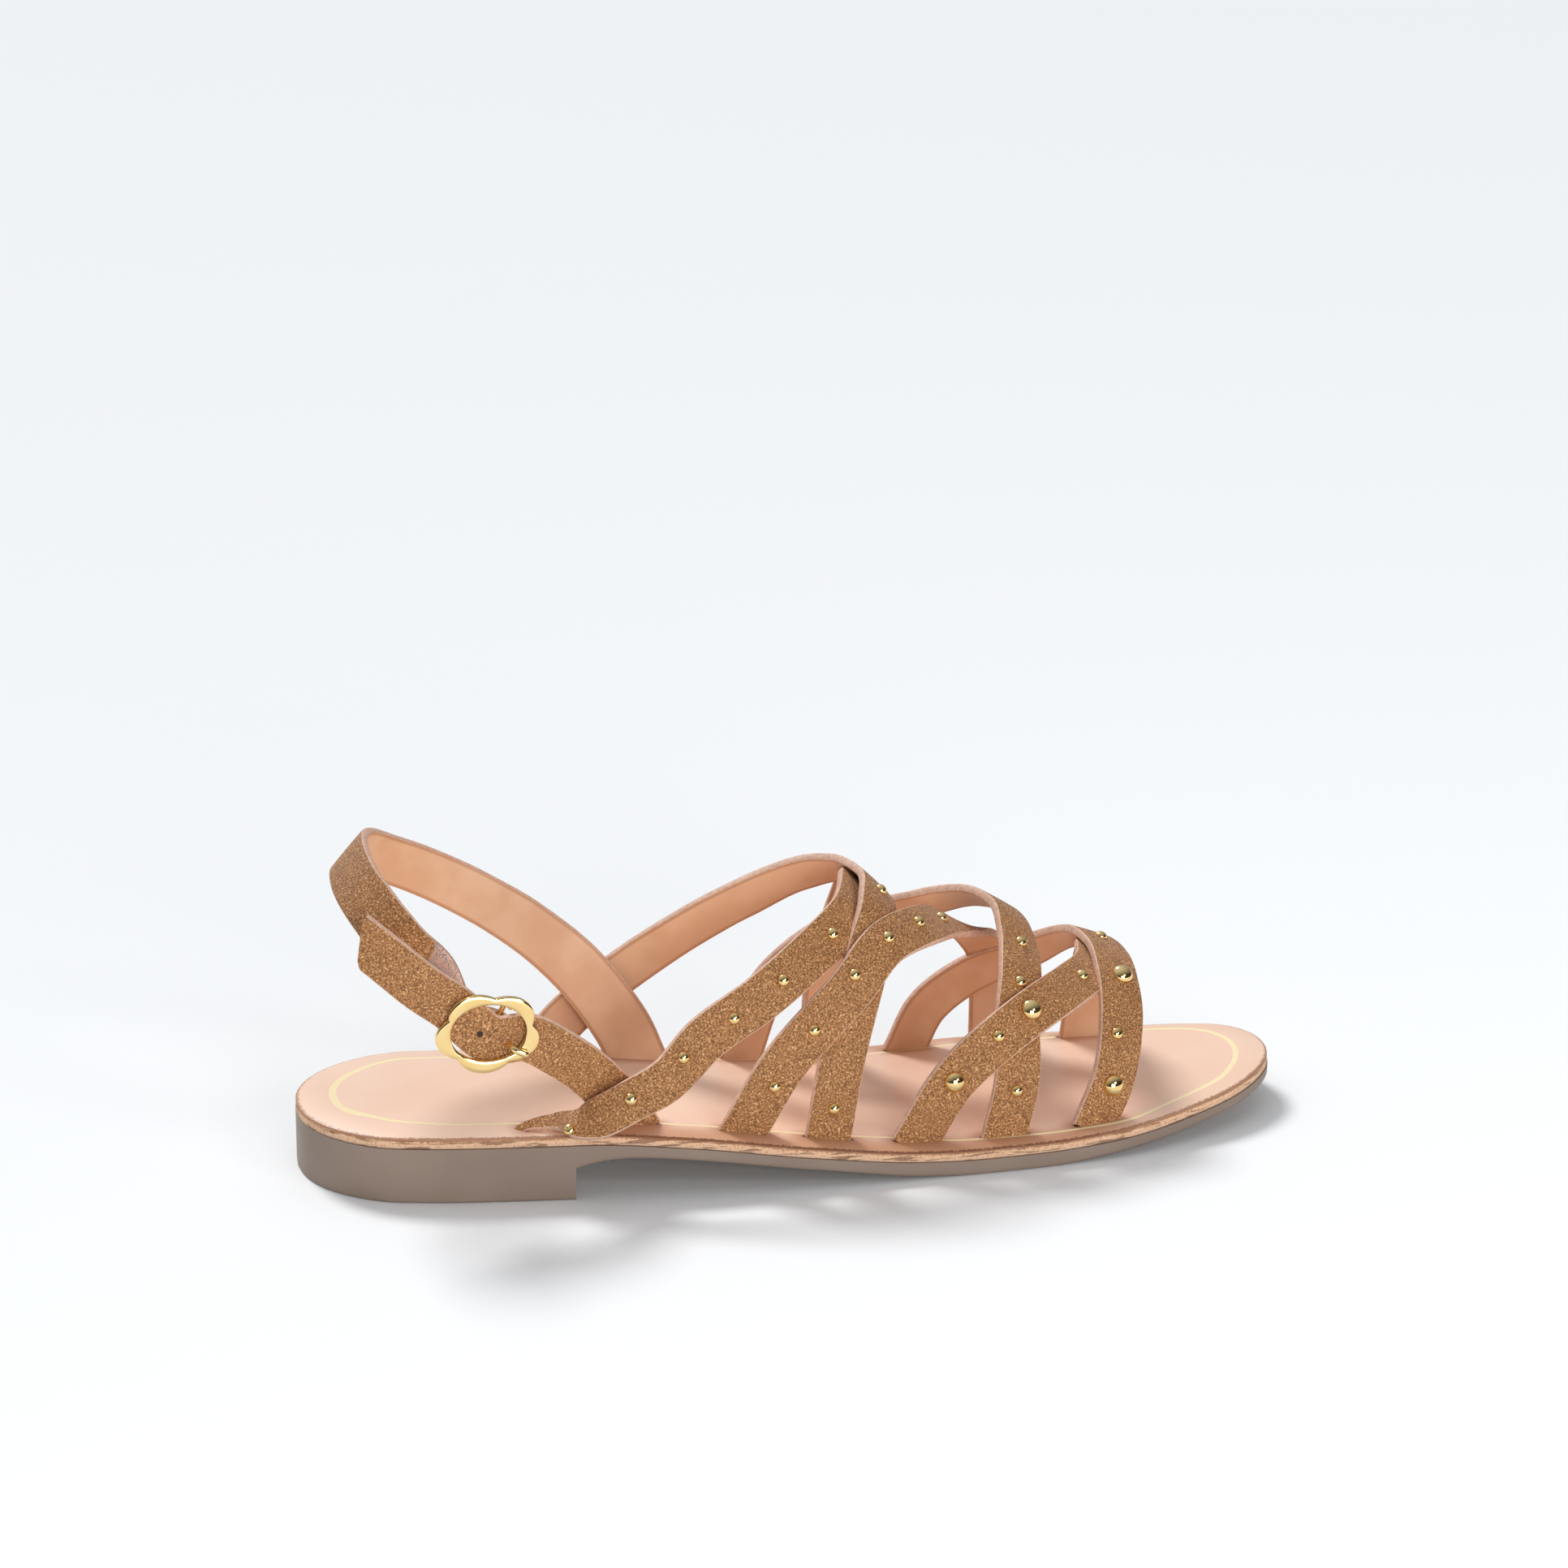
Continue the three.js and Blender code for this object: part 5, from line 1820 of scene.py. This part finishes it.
    def bar(self, material: bpy.types.Material) -> bpy.types.Object:
        """Bar behind the strap, bent up to the ring at both ends.

        Args:
            material: The metal.

        Returns:
            The object.
        """
        low = -(BUCKLE_STRAP_WIDTH + BAR_DIAMETER) / 2 - CLEARANCE
        top, bend = self.back + BUCKLE_PLATE / 2, self.bar_bend
        path = [(low, top), (low, 0.0), (low, bend - self.depth), (low + bend, -self.depth),
                (0.0, -self.depth), (BAR_TOP - bend, -self.depth), (BAR_TOP, bend - self.depth),
                (BAR_TOP, 0.0), (BAR_TOP, top)]
        points = np.array([[BAR_AHEAD, y, z] for y, z in path])
        return self.wire("buckle_bar", points, BAR_DIAMETER, material, 120)

    def prong(self, material: bpy.types.Material) -> bpy.types.Object:
        """Prong wound once round the bar, through the strap and over the ring.

        Args:
            material: The metal.

        Returns:
            The object.
        """
        over = self.back + BUCKLE_PLATE + CLEARANCE + PRONG_DIAMETER / 2
        wound = BAR_DIAMETER / 2 + CLEARANCE + PRONG_DIAMETER / 2
        path = [(BAR_AHEAD + wound * math.cos(a), -self.depth + wound * math.sin(a))
                for a in np.radians([60, 120, 180, 240, 300])]
        through = BAR_AHEAD + self.prong_ahead
        path += [(BAR_AHEAD + 2.4, -self.depth / 2 - 0.3), (through, STRAP_THICKNESS - 0.4),
                 (through + 1.4, over - 0.4), (through + 3, over - 0.05), (PRONG_REACH, over - 0.1)]
        points = np.array([[x, PRONG_RISE, z] for x, z in path])
        return self.wire("prong_look", points, PRONG_DIAMETER, material, 110)

    def elastic(self, material: bpy.types.Material) -> bpy.types.Object:
        """Elastic from inside the sling's end to a loop round the bar.

        Args:
            material: The woven elastic.

        Returns:
            The object.
        """
        tuck, end = (self.sling.at(share) for share in (0.93, 1.0))
        inward = -CLEARANCE - ELASTIC_THICKNESS
        loop = BAR_DIAMETER / 2 + CLEARANCE
        local = [(self.elastic_start, -self.depth - ELASTIC_THICKNESS / 2)]
        local += [(BAR_AHEAD + loop * math.cos(a), -self.depth + loop * math.sin(a))
                  for a in np.radians([250, 310, 10, 70])]
        near = self.plan([(x, self.elastic_rise, z) for x, z in local])
        under_sling = [station[0] + station[2] * inward + station[3] * lift
                       for station, lift in ((tuck, self.elastic_rise / 2),
                                             (end, self.elastic_rise + self.elastic_lift))]
        points = np.vstack([*under_sling, near])
        _, _, up, out = self.axes()
        facing = np.vstack([tuck[2], end[2], out, *(np.cross(up, d) for d in unit(np.diff(near, axis=0)))])
        frames = make_frames(points, facing, 90)
        band = Strap(self.shoe, "elastic_look", frames, ELASTIC_WIDTH, ELASTIC_THICKNESS, sink=0.0,
                     both_feet=False)
        return band.build([material, material, material])

    def build(self, metal: bpy.types.Material, woven: bpy.types.Material) -> None:
        """Builds ring, bar, prong and elastic.

        Args:
            metal: Gold of the buckle.
            woven: Elastic.
        """
        ring, bar = self.ring(metal), self.bar(metal)
        join([ring, bar], "buckle_look")
        self.shoe.finish(ring, Slot.GOLD, "buckle")
        self.shoe.finish(self.prong(metal), Slot.GOLD, "prong")
        self.shoe.finish(self.elastic(woven), Slot.ELASTIC, "elastic")


@dataclass
class Studio:
    """Floor, lights and camera.

    The camera's distance is in metres, its target in the shoe's millimetres, and its focal length,
    its image and the target's row in the photo's pixels.
    """

    shoe: Shoe
    distance: float = 1.229
    heading: float = -11.8
    lift: float = 20.6
    target: tuple[float, float, float] = (107.2, -8.0, 12.0)
    target_row: float = 1345.0
    image: float = 1932.0
    focal: float = 6842.0
    film: float = 36.0

    def build(self) -> None:
        """Builds the studio."""
        paper = plain_material(PAPER)
        floor = mesh_object("floor", np.array([[-3, -3, 0], [3, -3, 0], [3, 3, 0], [-3, 3, 0]], float),
                            [(0, 1, 2, 3)], [paper])
        self.sky()
        key = bpy.data.lights.new("key", "SUN")
        key.angle, key.energy = math.radians(18), 2.05
        self.hang(key, (-0.3, 0.85, 1.0), (0, 0, 0))
        self.panel("front", (0.15, -1.25, 0.22), 0.6, 9)
        self.panel("strip", (0.55, -0.9, 0.6), 0.25, 1.5)

    def sky(self) -> None:
        """Soft dome, bright overhead and behind the shoe, and dark behind the camera."""
        world = bpy.data.worlds.new("studio")
        bpy.context.scene.world = world
        world.use_nodes = True
        tree = world.node_tree
        way = tree.nodes.new("ShaderNodeNewGeometry")
        toward = tree.nodes.new("ShaderNodeVectorMath")
        toward.operation = "DOT_PRODUCT"
        toward.inputs[1].default_value = (0.25, -0.45, -0.857)
        rise = tree.nodes.new("ShaderNodeMapRange")
        rise.inputs["To Min"].default_value = 0.05
        rise.inputs["To Max"].default_value = 0.77
        background = tree.nodes["Background"]
        background.inputs["Color"].default_value = linear("#f4f6fa")
        tree.links.new(way.outputs["Incoming"], toward.inputs[0])
        tree.links.new(toward.outputs["Value"], rise.inputs["Value"])
        tree.links.new(rise.outputs[0], background.inputs["Strength"])

    def panel(self, name: str, place: tuple[float, float, float], size: float, power: float) -> None:
        """Adds a soft square light that looks at the shoe.

        Args:
            name: Light name.
            place: Where it stands, in metres.
            size: Side of its square.
            power: Power in watts.
        """
        data = bpy.data.lights.new(name, "AREA")
        data.size, data.energy = size, power
        self.hang(data, place, (0, 0, 0.03))

    def hang(self, data: bpy.types.Light, place: tuple[float, float, float],
             aim: tuple[float, float, float]) -> None:
        """Puts a light in the scene.

        Args:
            data: The light.
            place: Where it stands, in metres.
            aim: What it looks at.
        """
        lamp = bpy.data.objects.new(data.name, data)
        lamp.location = place
        lamp.rotation_euler = (Vector(aim) - Vector(place)).to_track_quat("-Z", "Y").to_euler()
        bpy.context.scene.collection.objects.link(lamp)

    def camera(self) -> None:
        """Sets the photograph's view."""
        heading, lift = math.radians(self.heading), math.radians(self.lift)
        back = Vector((math.sin(heading) * math.cos(lift), -math.cos(heading) * math.cos(lift),
                       math.sin(lift)))
        target = Vector(self.shoe.place.metres(np.array([self.target]))[0])
        eye = target + back * self.distance
        level = Vector((math.cos(heading), math.sin(heading), 0))
        ahead_plan = Vector((-math.sin(heading), math.cos(heading), 0))
        drop = lift - math.atan((self.target_row - self.image / 2) / self.focal)
        ahead = ahead_plan * math.cos(drop) - Vector((0, 0, 1)) * math.sin(drop)
        up = level.cross(ahead)
        data = bpy.data.cameras.new("photo view")
        data.sensor_fit = "HORIZONTAL"
        data.sensor_width = self.film
        data.lens = self.focal / self.image * self.film
        data.clip_start = 0.05
        data.clip_end = 20.0
        data.dof.use_dof = False
        view = bpy.data.objects.new("photo view", data)
        turn = Matrix((level, up, -ahead)).transposed().to_4x4()
        view.matrix_world = Matrix.Translation(eye) @ turn
        bpy.context.scene.collection.objects.link(view)
        bpy.context.scene.camera = view


def foot_lines(sole: Sole, frames: Frames, width: float, both: bool) -> list[tuple[Array, Array]]:
    """Slits of one strap as short lines in plan.

    Args:
        sole: Sole whose insole the strap enters.
        frames: The strap's stations.
        width: Its width.
        both: Whether it has two feet.

    Returns:
        Start and end of each slit.
    """
    lines = []
    count = len(frames.point)
    for order in ((range(count), range(count - 1, -1, -1)) if both else (range(count),)):
        i = next(k for k in order if frames.point[k][2] >= sole.top(frames.point[k][0]) - SLIT_DEPTH)
        middle = frames.point[i] + frames.out[i] * STRAP_THICKNESS / 2
        half = frames.wide[i] * width * frames.width[i] / 2
        lines.append((middle - half, middle + half))
    return lines


def main() -> None:
    """Builds the looks in order and logs each piece."""
    logging.basicConfig(level=logging.INFO)
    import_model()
    bpy.context.scene.view_settings.view_transform = "Standard"
    sole = Sole()
    low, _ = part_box("outsole")
    place = Place(
        x=-(sole.start + sole.end) / 2,
        y=low.y / MM - (float(sole.outline[:, 1].min()) - INSOLE_LEDGE),
    )
    shoe = Shoe(sole, Last(sole), place)
    straps = {number: upper_frames(number, shoe.last, 260) for number in STRAPS}
    sling = sling_frames(300)
    buckle_strap = buckle_strap_frames(220)
    feet = [line for frames in straps.values() for line in foot_lines(sole, frames, STRAP_WIDTH, True)]
    feet += foot_lines(sole, sling, SLING_WIDTH, False)
    feet += foot_lines(sole, buckle_strap, BUCKLE_STRAP_WIDTH, False)
    Outsole(shoe).build()
    Insole(shoe, feet).build()
    materials = [suede_material(), lining_material(), plain_material(EDGE)]
    parts = [Strap(shoe, f"strap_{n}", frames, STRAP_WIDTH).build(materials)
             for n, frames in straps.items()]
    join(parts, "upper_look")
    shoe.finish(parts[0], Slot.STRAP, "upper")
    back = Strap(shoe, "sling_look", sling, SLING_WIDTH, bevel=SLING_BEVEL, both_feet=False)
    shoe.finish(back.build(materials), Slot.STRAP, "sling_strap")
    tail = Strap(shoe, "buckle_strap_look", buckle_strap, BUCKLE_STRAP_WIDTH, bevel=TAIL_BEVEL,
                 both_feet=False)
    punched = [suede_material(tail.punch()), *materials[1:]]
    shoe.finish(tail.build(punched), Slot.STRAP, "buckle_strap")
    metal = plain_material(GOLD)
    StudSet(shoe, straps).build(metal)
    Buckle(shoe, buckle_strap, sling).build(metal, elastic_material())
    studio = Studio(shoe)
    studio.build()
    studio.camera()


if __name__ == "__main__":
    main()
